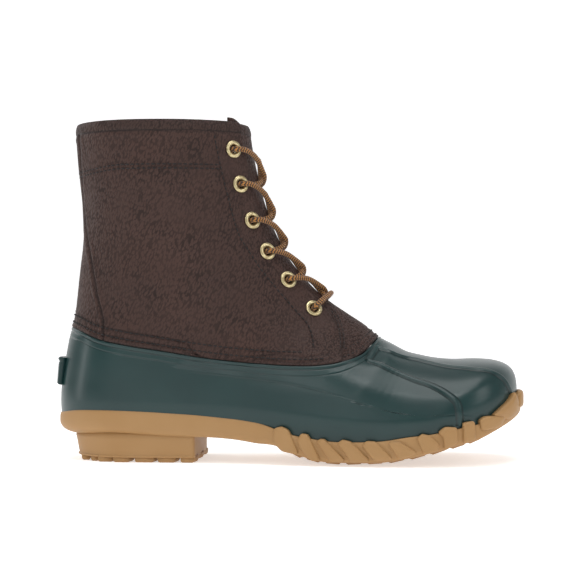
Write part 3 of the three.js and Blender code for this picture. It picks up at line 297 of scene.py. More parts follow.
def look_up(grid, t, a):
    a = np.mod(a, 2 * np.pi)
    i = np.clip((t - GRID_T[0]) / (GRID_T[1] - GRID_T[0]), 0, len(GRID_T) - 1.001)
    j = np.clip(a / (GRID_A[1] - GRID_A[0]), 0, len(GRID_A) - 1.001)
    i0, j0 = i.astype(int), j.astype(int)
    u, v = (i - i0)[..., None], (j - j0)[..., None]
    low = grid[i0, j0] * (1 - v) + grid[i0, j0 + 1] * v
    high = grid[i0 + 1, j0] * (1 - v) + grid[i0 + 1, j0 + 1] * v
    return low * (1 - u) + high * u


def surface(t, a, lift=0.0):
    t, a = np.broadcast_arrays(np.asarray(t, float), np.asarray(a, float))
    normal = look_up(GRID_N, t, a)
    normal = normal / np.linalg.norm(normal, axis=-1, keepdims=True)
    return look_up(GRID_P, t, a) + normal * np.asarray(lift)[..., None]


def normals(t, a):
    normal = look_up(GRID_N, np.asarray(t, float), np.asarray(a, float))
    return normal / np.linalg.norm(normal, axis=-1, keepdims=True)


def section_at(a, is_under):
    """The section at which a line round the form is reached, going up at given turns."""
    a = np.asarray(a, float)
    low, high = np.full(a.shape, FIRST), np.full(a.shape, LAST)
    for _ in range(HALVINGS):
        t = (low + high) / 2
        under = is_under(look_up(GRID_P, t, a))
        low, high = np.where(under, t, low), np.where(under, high, t)
    return low


def at_joint(a, drop):
    return section_at(a, lambda p: p[..., 2] < joint_height(p[..., 0]) - drop)


def at_height(a, height):
    return section_at(a, lambda p: p[..., 2] < height)


def even_turns(count, first, last, lines):
    """Turns set so that columns stay even along some lines round the form, such as the joint."""
    fine = np.linspace(first, last, 6000)
    far = sum(path_length(surface(line(fine), fine)) for line in lines)
    return np.interp(np.linspace(0, far[-1], count), far, fine)


front_reach = lambda t: np.interp(t, GRID_T, _front)
back_reach = lambda t: np.interp(t, GRID_T, _back)


def chart_of(x, z):
    """Section and turn of points given in the side view."""
    x, z = np.asarray(x, float), np.asarray(z, float)
    low, high = np.full(x.shape, FIRST), np.full(x.shape, LAST)
    for _ in range(HALVINGS):
        t = (low + high) / 2
        up = (z - plane_z(t)) * np.cos(plane_lean(t)) - (x - plane_x(t)) * np.sin(plane_lean(t)) > 0
        low, high = np.where(up, t, low), np.where(up, high, t)
    along = (x - plane_x(low)) * np.cos(plane_lean(low)) + (z - plane_z(low)) * np.sin(plane_lean(low))
    front, back = front_reach(low), back_reach(low)
    return low, np.arccos(np.clip((2 * along - front + back) / (front + back), -1, 1))


_edge_points = np.column_stack([px(QUARTER_EDGE[:, 0]), pz(QUARTER_EDGE[:, 1])])
_edge_s = path_length(_edge_points)
edge_x, edge_z = column(_edge_s, _edge_points[:, 0]), column(_edge_s, _edge_points[:, 1])


def edge_between(drop, height):
    """The quarter's front edge from the joint (0) to a height (1), as sections and turns."""
    s = np.linspace(0, _edge_s[-1], 4000)
    x, z = edge_x(s), edge_z(s)
    start = s[np.argmax(z >= joint_height(x) - drop)]
    end = s[np.argmax(z >= height)]
    return lambda v: chart_of(edge_x(start + (end - start) * v), edge_z(start + (end - start) * v))


QUARTER_TURN = float(edge_between(0, COLLAR_HEIGHT)(np.array([0.0]))[1][0])


def vamp_dip(p, a):
    """How far the shell dips under the front leather; on the sides the dip fades out downwards."""
    turn = np.minimum(a, 2 * np.pi - a) / QUARTER_TURN
    drop = joint_height(p[..., 0]) - p[..., 2]
    fade = 1 - ease(0.004, 0.022, drop) * ease(0.2, 0.7, turn)
    return VAMP_DIP * (1 - ease(px(0.699), px(0.79), p[..., 0])) * (1 - ease(0.7, 1.02, turn)) * fade


# Mesh building.
def new_object(name, vertices, faces, uv=None):
    mesh = bpy.data.meshes.new(name)
    mesh.from_pydata(np.asarray(vertices, float).tolist(), [], [tuple(f) for f in faces])
    if uv is not None:
        layer = mesh.uv_layers.new(name="surface")
        index = np.empty(len(mesh.loops), int)
        mesh.loops.foreach_get("vertex_index", index)
        layer.data.foreach_set("uv", np.asarray(uv, float)[index].ravel())
    mesh.polygons.foreach_set("use_smooth", [True] * len(mesh.polygons))
    mesh.update()
    made = bpy.data.objects.new(name, mesh)
    bpy.context.collection.objects.link(made)
    return made


def grid_faces(rows, columns, offset=0, ring=False, flip=False):
    i = np.arange(rows - 1)[:, None]
    j = np.arange(columns if ring else columns - 1)[None, :]
    k = (j + 1) % columns
    quads = np.stack(np.broadcast_arrays(i * columns + j, i * columns + k, (i + 1) * columns + k, (i + 1) * columns + j), -1)
    quads = quads.reshape(-1, 4) + offset
    return quads[:, ::-1] if flip else quads


def strip_faces(first, second, ring=False):
    a, b = np.asarray(first), np.asarray(second)
    if ring:
        a, b = np.append(a, a[0]), np.append(b, b[0])
    return np.column_stack([a[:-1], a[1:], b[1:], b[:-1]])


def add_face_attribute(made, name, values):
    attribute = made.data.attributes.new(name, "FLOAT", "POINT")
    attribute.data.foreach_set("value", np.asarray(values, float).ravel())


def outwards(made):
    bm = bmesh.new()
    bm.from_mesh(made.data)
    bmesh.ops.recalc_face_normals(bm, faces=bm.faces)
    bm.to_mesh(made.data)
    bm.free()
    return made


def thick_sheet(name, face, back, uv, ring=False, tubes=0):
    """A closed wall between two grids of points, its free borders closed by strips between the two."""
    rows, columns = face.shape[:2]
    n = rows * columns
    vertices = np.concatenate([face.reshape(-1, 3), back.reshape(-1, 3)])
    faces = [grid_faces(rows, columns, 0, ring), grid_faces(rows, columns, n, ring, True)]
    top, low = np.arange(columns) + (rows - 1) * columns, np.arange(columns)
    faces.append(strip_faces(top, top + n, ring))
    faces.append(strip_faces(low + n, low, ring))
    if not ring:
        left, right = np.arange(rows) * columns, np.arange(rows) * columns + columns - 1
        faces.append(strip_faces(left, left + n))
        faces.append(strip_faces(right + n, right))
    made = new_object(name, vertices, np.concatenate(faces), np.concatenate([uv.reshape(-1, 2)] * 2))
    return outwards(made)


def surface_uv(points):
    """Metres round and up a grid of points, for patterns that follow the surface."""
    u = np.cumsum(np.linalg.norm(np.diff(points, axis=1, prepend=points[:, :1]), axis=-1), axis=1)
    v = np.cumsum(np.linalg.norm(np.diff(points, axis=0, prepend=points[:1]), axis=-1), axis=0)
    u = u - u[:, [u.shape[1] // 2]]
    return np.stack([u, v], axis=-1)


def border_round(rows, columns, widths, radius):
    """How far a sheet's face falls back near its borders: a quarter round of the given radius."""
    far = np.minimum.reduce([np.broadcast_to(w, (rows, columns)) for w in widths])
    near = np.clip(1 - far / radius, 0, 1)
    return radius * (1 - np.sqrt(np.maximum(0, 1 - near ** 2)))


def bump_at(distance, width):
    """1 on a line, 0 beyond its width, smooth between."""
    return 1 - ease(0, width, np.abs(distance))


def spaced(borders, inner):
    """Steps from 0 to 1 that are close near both ends: borders are the first shares."""
    first = np.asarray(borders)
    return np.concatenate([first, np.linspace(first[-1], 1 - first[-1], inner)[1:-1], 1 - first[::-1]])


# Materials: shader groups that several finishes share.
def group(name, inputs, outputs):
    tree = bpy.data.node_groups.new(name, "ShaderNodeTree")
    for label, kind, value in inputs:
        socket = tree.interface.new_socket(label, in_out="INPUT", socket_type=kind)
        if value is not None:
            socket.default_value = value
    for label, kind in outputs:
        tree.interface.new_socket(label, in_out="OUTPUT", socket_type=kind)
    return tree, tree.nodes.new("NodeGroupInput"), tree.nodes.new("NodeGroupOutput")


def node(tree, kind, inputs=None, **settings):
    made = tree.nodes.new(kind)
    for key, value in settings.items():
        setattr(made, key, value)
    for key, value in (inputs or {}).items():
        if isinstance(value, bpy.types.NodeSocket):
            tree.links.new(value, made.inputs[key])
        else:
            made.inputs[key].default_value = value
    return made


def math_node(tree, operation, *values):
    return node(tree, "ShaderNodeMath", dict(enumerate(values)), operation=operation).outputs[0]


def ramp(tree, value, low, high, out_low=0.0, out_high=1.0):
    inputs = {"Value": value, "From Min": low, "From Max": high, "To Min": out_low, "To Max": out_high}
    return node(tree, "ShaderNodeMapRange", inputs).outputs[0]


def blend_colours(tree, factor, first, second):
    made = node(tree, "ShaderNodeMix", data_type="RGBA")
    for index, value in ((0, factor), (6, first), (7, second)):
        if isinstance(value, bpy.types.NodeSocket):
            tree.links.new(value, made.inputs[index])
        else:
            made.inputs[index].default_value = value
    return made.outputs[2]


def noise(tree, vector, scale, detail=2.0, rough=0.5):
    inputs = {"Vector": vector, "Scale": scale, "Detail": detail, "Roughness": rough}
    return node(tree, "ShaderNodeTexNoise", inputs).outputs["Fac"]


def colour(r, g, b):
    """A colour given as a picture shows it, 0 to 255."""
    def linear(v):
        v /= 255
        return v / 12.92 if v <= 0.04045 else ((v + 0.055) / 1.055) ** 2.4
    return (linear(r), linear(g), linear(b), 1)


def pebble_grain_group():
    """Leather grain: small soft pebbles drawn out along a slant, stronger in some places than in others."""
    tree, source, result = group(
        "pebble grain",
        [("Vector", "NodeSocketVector", None), ("Pebble", "NodeSocketFloat", 800.0),
         ("Slant", "NodeSocketFloat", -0.4), ("Stretch", "NodeSocketFloat", 0.5)],
        [("Height", "NodeSocketFloat"), ("Valley", "NodeSocketFloat"), ("Tone", "NodeSocketFloat")],
    )
    turned = node(tree, "ShaderNodeVectorRotate", {"Vector": source.outputs["Vector"], "Angle": source.outputs["Slant"]},
                  rotation_type="Y_AXIS").outputs[0]
    scale = node(tree, "ShaderNodeCombineXYZ", {0: 1.0, 1: 1.0, 2: source.outputs["Stretch"]}).outputs[0]
    drawn = node(tree, "ShaderNodeVectorMath", {0: turned, 1: scale}, operation="MULTIPLY").outputs[0]
    warp = node(tree, "ShaderNodeTexNoise", {"Vector": drawn, "Scale": 420.0, "Detail": 2.0})
    centred = node(tree, "ShaderNodeVectorMath", {0: warp.outputs["Color"], 1: (0.5, 0.5, 0.5)},
                   operation="SUBTRACT").outputs[0]
    push = node(tree, "ShaderNodeVectorMath", {0: centred, "Scale": 0.0011}, operation="SCALE").outputs[0]
    bent = node(tree, "ShaderNodeVectorMath", {0: drawn, 1: push}, operation="ADD").outputs[0]
    cells = node(tree, "ShaderNodeTexVoronoi", {"Vector": bent, "Scale": source.outputs["Pebble"], "Randomness": 1.0},
                 voronoi_dimensions="3D", feature="F1")
    dome = ramp(tree, cells.outputs["Distance"], 0.72, 0.12)
    patch = ramp(tree, noise(tree, source.outputs["Vector"], 60.0, 2.0), 0.3, 0.7, 0.45, 1.0)
    fine = noise(tree, drawn, 2600.0, 3.0)
    height = math_node(tree, "MULTIPLY_ADD", fine, 0.14, math_node(tree, "MULTIPLY", dome, patch))
    tree.links.new(height, result.inputs["Height"])
    # Valley marks the grain's low places: the leather paints shade there and makes them rougher.
    valley = ramp(tree, dome, 0.5, 0.05)
    tree.links.new(math_node(tree, "MULTIPLY", valley, patch), result.inputs["Valley"])
    tree.links.new(noise(tree, drawn, 300.0, 2.0), result.inputs["Tone"])
    return tree


def moulding_group():
    """Moulded rubber: a very soft unevenness, fine specks and slow changes of tone."""
    tree, source, result = group(
        "moulded rubber",
        [("Vector", "NodeSocketVector", None), ("Wave", "NodeSocketFloat", 28.0), ("Speck", "NodeSocketFloat", 1500.0)],
        [("Height", "NodeSocketFloat"), ("Tone", "NodeSocketFloat"), ("Speck", "NodeSocketFloat")],
    )
    slow = noise(tree, source.outputs["Vector"], source.outputs["Wave"], 2.0)
    speck = noise(tree, source.outputs["Vector"], source.outputs["Speck"], 2.0)
    tree.links.new(math_node(tree, "MULTIPLY_ADD", speck, 0.04, slow), result.inputs["Height"])
    tree.links.new(slow, result.inputs["Tone"])
    tree.links.new(speck, result.inputs["Speck"])
    return tree


def handling_group():
    """Wear and dust: patches are rubbed at random, and low places hold a little dust."""
    tree, source, result = group(
        "handling",
        [("Vector", "NodeSocketVector", None), ("Amount", "NodeSocketFloat", 0.5)],
        [("Rubbed", "NodeSocketFloat"), ("Dust", "NodeSocketFloat")],
    )
    patch = noise(tree, source.outputs["Vector"], 35.0, 4.0, 0.6)
    rubbed = ramp(tree, patch, 0.5, 0.75)
    tree.links.new(math_node(tree, "MULTIPLY", rubbed, source.outputs["Amount"]), result.inputs["Rubbed"])
    height = node(tree, "ShaderNodeSeparateXYZ", {0: source.outputs["Vector"]}).outputs[2]
    low = ramp(tree, height, 0.035, 0.0)
    dust = math_node(tree, "MULTIPLY", low, ramp(tree, patch, 0.35, 0.7))
    tree.links.new(math_node(tree, "MULTIPLY", dust, source.outputs["Amount"]), result.inputs["Dust"])
    return tree


GROUPS = {}


def place_group(tree, name, inputs):
    made = node(tree, "ShaderNodeGroup", node_tree=GROUPS[name])
    for key, value in inputs.items():
        if isinstance(value, bpy.types.NodeSocket):
            tree.links.new(value, made.inputs[key])
        else:
            made.inputs[key].default_value = value
    return made.outputs


def new_material(name):
    made = bpy.data.materials.new(name)
    made.use_nodes = True
    return made, made.node_tree, made.node_tree.nodes["Principled BSDF"]


def bump(tree, height, strength, distance, normal=None):
    inputs = {"Height": height, "Strength": strength, "Distance": distance}
    if normal is not None:
        inputs["Normal"] = normal
    return node(tree, "ShaderNodeBump", inputs).outputs[0]


def leather_material(name, main, deep, warm, pebble=820.0):
    made, tree, shader = new_material(name)
    place = node(tree, "ShaderNodeTexCoord").outputs["Object"]
    grain = place_group(tree, "pebble grain", {"Vector": place, "Pebble": pebble, "Slant": -0.4, "Stretch": 0.45})
    handling = place_group(tree, "handling", {"Vector": place, "Amount": 0.35})
    slow = noise(tree, place, 24.0, 3.0)
    edge = node(tree, "ShaderNodeAttribute", attribute_name="seam_and_shade").outputs["Fac"]
    base = blend_colours(tree, ramp(tree, slow, 0.3, 0.7), main, warm)
    # Painted shade: the grain's valleys are blended toward the deep colour.
    base = blend_colours(tree, math_node(tree, "MULTIPLY", grain["Valley"], 0.75), base, deep)
    base = blend_colours(tree, math_node(tree, "MULTIPLY", handling["Rubbed"], 0.3), base, warm)
    # Painted shade: darkened toward the deep colour where the mesh's attribute marks grooves, stitch rows, gaps and
    # edges.
    base = blend_colours(tree, math_node(tree, "MULTIPLY", edge, 0.8), base, deep)
    tree.links.new(base, shader.inputs["Base Color"])
    rough = math_node(tree, "MULTIPLY_ADD", grain["Valley"], 0.25, 0.47)
    rough = math_node(tree, "MULTIPLY_ADD", slow, 0.12, rough)
    tree.links.new(rough, shader.inputs["Roughness"])
    flat = math_node(tree, "SUBTRACT", 1.0, math_node(tree, "MULTIPLY", edge, 0.7))
    tree.links.new(bump(tree, math_node(tree, "MULTIPLY", grain["Height"], flat), 0.85, 0.0005), shader.inputs["Normal"])
    shader.inputs["Specular IOR Level"].default_value = 0.3
    return made


def rubber_material(name, main, pale, rough, strength, coat=0.0):
    made, tree, shader = new_material(name)
    place = node(tree, "ShaderNodeTexCoord").outputs["Object"]
    skin = place_group(tree, "moulded rubber", {"Vector": place})
    handling = place_group(tree, "handling", {"Vector": place, "Amount": 0.5})
    edge = node(tree, "ShaderNodeAttribute", attribute_name="seam_and_shade").outputs["Fac"]
    base = blend_colours(tree, ramp(tree, skin["Tone"], 0.3, 0.7, 0.0, 0.5), main, pale)
    base = blend_colours(tree, math_node(tree, "MULTIPLY", handling["Dust"], 0.35), base, pale)
    # Painted shade: a darker copy of the main colour, where the mesh's attribute marks grooves and gaps.
    shade = tuple(v * 0.35 for v in main[:3]) + (1,)
    base = blend_colours(tree, math_node(tree, "MULTIPLY", edge, 0.8), base, shade)
    tree.links.new(base, shader.inputs["Base Color"])
    low = math_node(tree, "MULTIPLY_ADD", handling["Rubbed"], 0.14, rough)
    tree.links.new(math_node(tree, "MULTIPLY_ADD", skin["Speck"], 0.08, low), shader.inputs["Roughness"])
    tree.links.new(bump(tree, skin["Height"], strength, 0.0006), shader.inputs["Normal"])
    shader.inputs["Specular IOR Level"].default_value = 0.4
    shader.inputs["Coat Weight"].default_value = coat
    shader.inputs["Coat Roughness"].default_value = 0.22
    return made


def brass_material():
    made, tree, shader = new_material("antique brass")
    place = node(tree, "ShaderNodeTexCoord").outputs["Object"]
    tarnish = ramp(tree, noise(tree, place, 420.0, 4.0), 0.4, 0.75)
    base = blend_colours(tree, tarnish, colour(206, 192, 150), colour(150, 130, 92))
    tree.links.new(base, shader.inputs["Base Color"])
    tree.links.new(ramp(tree, tarnish, 0, 1, 0.26, 0.45), shader.inputs["Roughness"])
    tree.links.new(bump(tree, noise(tree, place, 1400.0), 0.15, 0.0002), shader.inputs["Normal"])
    shader.inputs["Metallic"].default_value = 0.9
    return made


CHEVRONS, CHEVRON_PITCH, CHEVRON_RISE = 3, 0.0019, 0.6


def lace_material():
    """A round braid: yarns cross in two spirals, gold on the one and dark brown on the other."""
    made, tree, shader = new_material("braided lace")
    uv = node(tree, "ShaderNodeUVMap", uv_map="surface").outputs[0]
    split = node(tree, "ShaderNodeSeparateXYZ", {0: uv})
    across, along = split.outputs[0], split.outputs[1]
    zig = math_node(tree, "PINGPONG", math_node(tree, "MULTIPLY", across, 2.0 * CHEVRONS), 1.0)
    run = math_node(tree, "MULTIPLY_ADD", zig, CHEVRON_RISE, math_node(tree, "DIVIDE", along, CHEVRON_PITCH))
    stripe = math_node(tree, "SINE", math_node(tree, "MULTIPLY", run, math.tau))
    spine = ramp(tree, math_node(tree, "ABSOLUTE", math_node(tree, "SUBTRACT", zig, 0.5)), 0.5, 0.3)
    yarn = math_node(tree, "MULTIPLY", ramp(tree, stripe, -1, 1), spine)
    tone = noise(tree, node(tree, "ShaderNodeTexCoord").outputs["Object"], 900.0, 3.0)
    gold = blend_colours(tree, ramp(tree, tone, 0.3, 0.7), colour(190, 130, 56), colour(150, 98, 42))
    base = blend_colours(tree, ramp(tree, stripe, 0.2, -0.2), gold, colour(48, 31, 22))
    # Painted shade in the grooves where the yarns meet.
    base = blend_colours(tree, ramp(tree, spine, 0.5, 0.0, 0.0, 0.6), base, colour(40, 28, 20))
    tree.links.new(base, shader.inputs["Base Color"])
    tree.links.new(bump(tree, yarn, 0.8, 0.0005), shader.inputs["Normal"])
    shader.inputs["Roughness"].default_value = 0.72
    shader.inputs["Sheen Weight"].default_value = 0.15
    return made


def thread_material(name, main, shade):
    made, tree, shader = new_material(name)
    place = node(tree, "ShaderNodeTexCoord").outputs["Object"]
    twist = node(tree, "ShaderNodeTexWave", {"Vector": place, "Scale": 900.0, "Distortion": 1.0}).outputs["Fac"]
    tree.links.new(blend_colours(tree, twist, main, shade), shader.inputs["Base Color"])
    tree.links.new(bump(tree, twist, 0.3, 0.0002), shader.inputs["Normal"])
    shader.inputs["Roughness"].default_value = 0.65
    return made


def footbed_material():
    made, tree, shader = new_material("footbed cloth")
    place = node(tree, "ShaderNodeTexCoord").outputs["Object"]
    weave = node(tree, "ShaderNodeTexWave", {"Vector": place, "Scale": 520.0, "Distortion": 2.0, "Detail": 2.0}).outputs["Fac"]
    cross = node(tree, "ShaderNodeTexWave", {"Vector": place, "Scale": 520.0, "Distortion": 2.0}, bands_direction="Y")
    threads = math_node(tree, "MULTIPLY", weave, cross.outputs["Fac"])
    tree.links.new(blend_colours(tree, threads, colour(72, 62, 54), colour(112, 98, 84)), shader.inputs["Base Color"])
    tree.links.new(bump(tree, threads, 0.5, 0.0004), shader.inputs["Normal"])
    shader.inputs["Roughness"].default_value = 0.92
    return made


def make_materials():
    GROUPS["pebble grain"] = pebble_grain_group()
    GROUPS["moulded rubber"] = moulding_group()
    GROUPS["handling"] = handling_group()
    return {
        "leather": leather_material("pebbled leather", colour(58, 38, 32), colour(26, 17, 15), colour(66, 44, 37)),
        "binding": leather_material("binding leather", colour(52, 35, 30), colour(25, 17, 15), colour(60, 41, 35), 950.0),
        "shell": rubber_material("green rubber", colour(12, 44, 44), colour(20, 54, 53), 0.3, 0.3, 0.15),
        "sole": rubber_material("honey rubber", colour(158, 120, 74), colour(168, 132, 88), 0.5, 0.35),
        "brass": brass_material(),
        "lace": lace_material(),
        "thread": thread_material("brown thread", colour(22, 13, 11), colour(13, 8, 7)),
        "dark thread": thread_material("dark thread", colour(42, 30, 27), colour(26, 19, 17)),
        "footbed": footbed_material(),
    }


# Pieces.
def joined_grids(name, grids, uvs, faces, attributes=None):
    vertices = np.concatenate([g.reshape(-1, 3) for g in grids])
    uv = np.concatenate([u.reshape(-1, 2) for u in uvs])
    return new_object(name, vertices, np.concatenate(faces), uv)


def finish_piece(made, material, slot, *nodes):
    made.data.materials.append(material)
    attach(made, "root")
    if nodes:
        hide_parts(*nodes)
    return made


SHELL_COLUMNS, LINING_ROWS = 400, 10
# Rows of the shell's face: close together by the joint, where the band is, then spread down to the sole.
BAND_DROPS = np.concatenate([[0, 0.00015, 0.0004], np.linspace(0.0008, 0.0095, 34)])
WALL_ROWS = 112
LIP = {"proud": 0.0001, "bead": 0.00032, "bead_at": 0.0015, "line": 0.003, "foot": 0.0068, "groove": 0.0004}


def lip_profile(drop):
    """The band under the leather, by the distance under the joint: a dark gap, a bead, a line, a flat band."""
    band = LIP["proud"] * (1 - ease(LIP["foot"], LIP["foot"] + 0.0008, drop))
    bead = LIP["bead"] * bump_at(drop - LIP["bead_at"], 0.0014)
    gap = -0.0006 * (1 - ease(0, 0.0008, drop))
    line = -LIP["groove"] * bump_at(drop - LIP["line"], 0.0006)
    return band + bead + gap + line - 0.6 * LIP["groove"] * bump_at(drop - LIP["foot"], 0.0007)


def shell_foot(turns):
    """The lowest section of the shell at each turn: the last one that dips under the sole's edge."""
    p = look_up(GRID_P, GRID_T[:, None], np.broadcast_to(turns, (len(GRID_T), len(turns))))
    over = p[..., 2] - feather(p[..., 0]) - GAP
    last = len(GRID_T) - 1 - (over < 0)[::-1].argmax(0)
    last = np.where((over < 0).any(0), np.minimum(last, len(GRID_T) - 2), 0)
    k = np.arange(len(turns))
    share = np.clip(-over[last, k] / (over[last + 1, k] - over[last, k]), 0, 1)
    return GRID_T[last] + share * (GRID_T[1] - GRID_T[0])


def rubber_shell(materials):
    turns = even_turns(SHELL_COLUMNS + 1, 0, 2 * np.pi, [shell_foot, lambda a: at_joint(a, 0)])[:-1]
    low = shell_foot(turns)
    band = at_joint(np.broadcast_to(turns, (len(BAND_DROPS), SHELL_COLUMNS)), BAND_DROPS[:, None] + GAP / 2)
    share = np.linspace(1, 0, WALL_ROWS)[1:, None]
    t = np.concatenate([band, low + (np.maximum(band[-1], low) - low) * share])[::-1]
    a = np.broadcast_to(turns, t.shape)
    p = surface(t, a)
    drop = joint_height(p[..., 0]) - p[..., 2]
    face = surface(t, a, lip_profile(drop) - RUBBER_SINK - vamp_dip(p, a))
    ti = low + (band[0] - low) * np.linspace(0, 1, LINING_ROWS)[:, None]
    ai = np.broadcast_to(turns, ti.shape)
    back = surface(ti, ai, -RUBBER_SINK - vamp_dip(surface(ti, ai), ai) - RUBBER_WALL)
    rows, ring = len(t), np.arange(SHELL_COLUMNS)
    n = rows * SHELL_COLUMNS
    faces = [grid_faces(rows, SHELL_COLUMNS, 0, True), grid_faces(LINING_ROWS, SHELL_COLUMNS, n, True, True)]
    faces.append(strip_faces(ring + (rows - 1) * SHELL_COLUMNS, ring + n + (LINING_ROWS - 1) * SHELL_COLUMNS, True))
    faces.append(strip_faces(ring + n, ring, True))
    made = joined_grids("rubber_shell_skin", [face, back], [surface_uv(face), surface_uv(back)], faces)
    # Painted shade: darker in the line and band-foot grooves and in the gap under the leather.
    seam_and_shade = 0.7 * bump_at(drop - LIP["line"], 0.0006) + 0.5 * bump_at(drop - LIP["foot"], 0.0006)
    seam_and_shade = seam_and_shade + 0.95 * (1 - ease(0.0003, 0.0009, drop))
    add_face_attribute(made, "seam_and_shade", np.concatenate([seam_and_shade.ravel(), np.zeros(back.shape[:2]).ravel()]))
    return finish_piece(outwards(made), materials["shell"], "shell_rubber", "rubber_shell")


def chart_path(points, count, height=None):
    """An even walk along a line of the outer side, from shares in the side view, on the chart."""
    line = np.asarray(points, float)
    x, z = px(line[:, 0]), pz(line[:, 1])
    s = path_length(np.column_stack([x, z]))
    at = np.linspace(0, s[-1], 400)
    t, a = chart_of(column(s, x)(at), column(s, z)(at))
    far = path_length(surface(t, a))
    even = np.linspace(0, far[-1], count)
    return np.interp(even, far, t), np.interp(even, far, a), far[-1]


def other_side(a):
    return 2 * np.pi - a


CHART_NUDGE = 0.02


def offset_on_chart(t, a, across):
    """Moves points of the chart sideways over the surface, by metres left of their path."""
    p = surface(t, a)
    way = np.gradient(p, axis=0)
    way /= np.linalg.norm(way, axis=1, keepdims=True)
    side = np.cross(normals(t, a), way)
    dt = (surface(t + CHART_NUDGE, a) - surface(t - CHART_NUDGE, a)) / (2 * CHART_NUDGE)
    da = (surface(t, a + CHART_NUDGE) - surface(t, a - CHART_NUDGE)) / (2 * CHART_NUDGE)
    tt, aa, ta = (dt * dt).sum(1), (da * da).sum(1), (dt * da).sum(1)
    st, sa = (side * dt).sum(1) * across, (side * da).sum(1) * across
    det = tt * aa - ta * ta
    return t + (st * aa - sa * ta) / det, a + (sa * tt - st * ta) / det


def raised_strip(t, a, width, profile, base):
    """A strip on the surface with a rounded back: rows across, columns along."""
    across = np.linspace(-1, 1, len(profile))
    rows = []
    for share, high in zip(across, profile):
        tt, aa = offset_on_chart(t, a, share * width / 2)
        rows.append(surface(tt, aa, base(tt, aa) + high))
    return np.array(rows)


# Across a ridge, in mm: a sunk line at its foot on both sides, with painted shade there, and a round back between.
RIDGE_HEIGHTS = np.array([-1.2, 0.25, 0.28, 0.7, 1.15, 1.32, 1.36, 1.32, 1.15, 0.7, 0.28, 0.25, -1.2]) * MM
RIDGE_SHADE = np.array([0.9, 0.9, 0.8, 0.25, 0, 0, 0, 0, 0, 0.25, 0.8, 0.9, 0.9])
RIDGE_WIDTH = 0.0062
TOE_RIDGES = {
    "middle": [(0.7, 0.348), (0.7449, 0.3161), (0.796, 0.2955), (0.8456, 0.2815), (0.8957, 0.2755), (0.9397, 0.2665),
               (0.9632, 0.2475), (0.9778, 0.2163), (0.986, 0.185)],
    "side": [(0.6793, 0.3065), (0.7282, 0.2724), (0.7784, 0.2446), (0.8147, 0.2284), (0.8434, 0.2068), (0.8638, 0.1822),
             (0.8688, 0.1514), (0.8698, 0.118)],
    "back": [(0.7, 0.348), (0.6885, 0.326), (0.6793, 0.3065)],
}


def toe_ridges(materials):
    base = lambda t, a: -RUBBER_SINK - vamp_dip(surface(t, a), a)
    grids = []
    for name, line in TOE_RIDGES.items():
        t, a, _ = chart_path(line, 200)
        turns = (a,) if name == "middle" else (a, other_side(a))
        grids += [raised_strip(t, turn, RIDGE_WIDTH, RIDGE_HEIGHTS, base) for turn in turns]
    made = strip_piece("toe_ridges", grids, materials["shell"], "shell_rubber")
    shade = np.concatenate([np.repeat(RIDGE_SHADE, grid.shape[1]) for grid in grids])
    add_face_attribute(made, "seam_and_shade", shade)
    return made


def strip_piece(name, grids, material, slot, *nodes):
    faces, offset = [], 0
    for grid in grids:
        rows, columns = grid.shape[:2]
        faces.append(grid_faces(rows, columns, offset))
        bottom = np.arange(columns)
        faces.append(strip_faces(bottom + offset + (rows - 1) * columns, bottom + offset))
        offset += rows * columns
    uvs = [surface_uv(g) for g in grids]
    made = joined_grids(name, grids, uvs, faces)
    bm = bmesh.new()
    bm.from_mesh(made.data)
    bmesh.ops.holes_fill(bm, edges=[e for e in bm.edges if e.is_boundary])
    bmesh.ops.recalc_face_normals(bm, faces=bm.faces)
    bm.to_mesh(made.data)
    bm.free()
    return finish_piece(made, material, slot, *nodes)


TAB_SIZE = {"half": 0.013, "low": 0.222, "high": 0.303, "foot": 0.003, "head": 0.0042, "lip": 0.0005}


def kick_tab(materials):
    """The ledge moulded on the back of the heel: flared at the foot, with a thin lip along its top."""
    rows, columns = 60, 80
    z = pz(np.linspace(TAB_SIZE["low"], TAB_SIZE["high"], rows))
    girth = np.linalg.norm(surface(10.0, np.pi + 0.05) - surface(10.0, np.pi - 0.05)) / 0.1
    a = np.pi + np.linspace(-1, 1, columns) * TAB_SIZE["half"] / girth
    t = at_height(np.broadcast_to(a, (rows, columns)), z[:, None])
    a = np.broadcast_to(a, t.shape)
    share = np.linspace(0, 1, rows)[:, None]
    lift = TAB_SIZE["foot"] + (TAB_SIZE["head"] - TAB_SIZE["foot"]) * share
    lift = lift + TAB_SIZE["lip"] * ease(0.86, 0.9, share) - 0.0004 * bump_at(share - 0.83, 0.05)
    p = surface(t, a, 0.004)
    du = np.linalg.norm(np.diff(p, axis=1, prepend=p[:, :1]), axis=-1).cumsum(1)
    dv = np.linalg.norm(np.diff(p, axis=0, prepend=p[:1]), axis=-1).cumsum(0)
    lift = lift - border_round(rows, columns, [du, du[:, -1:] - du, dv, dv[-1:] - dv], 0.0012)
    face = surface(t, a, lift)
    back = surface(t, a, -0.0015)
    return finish_piece(thick_sheet("kick_tab", face, back, surface_uv(face)), materials["shell"], "shell_rubber")


LEATHER_ROWS, LEATHER_COLUMNS = 120, 300
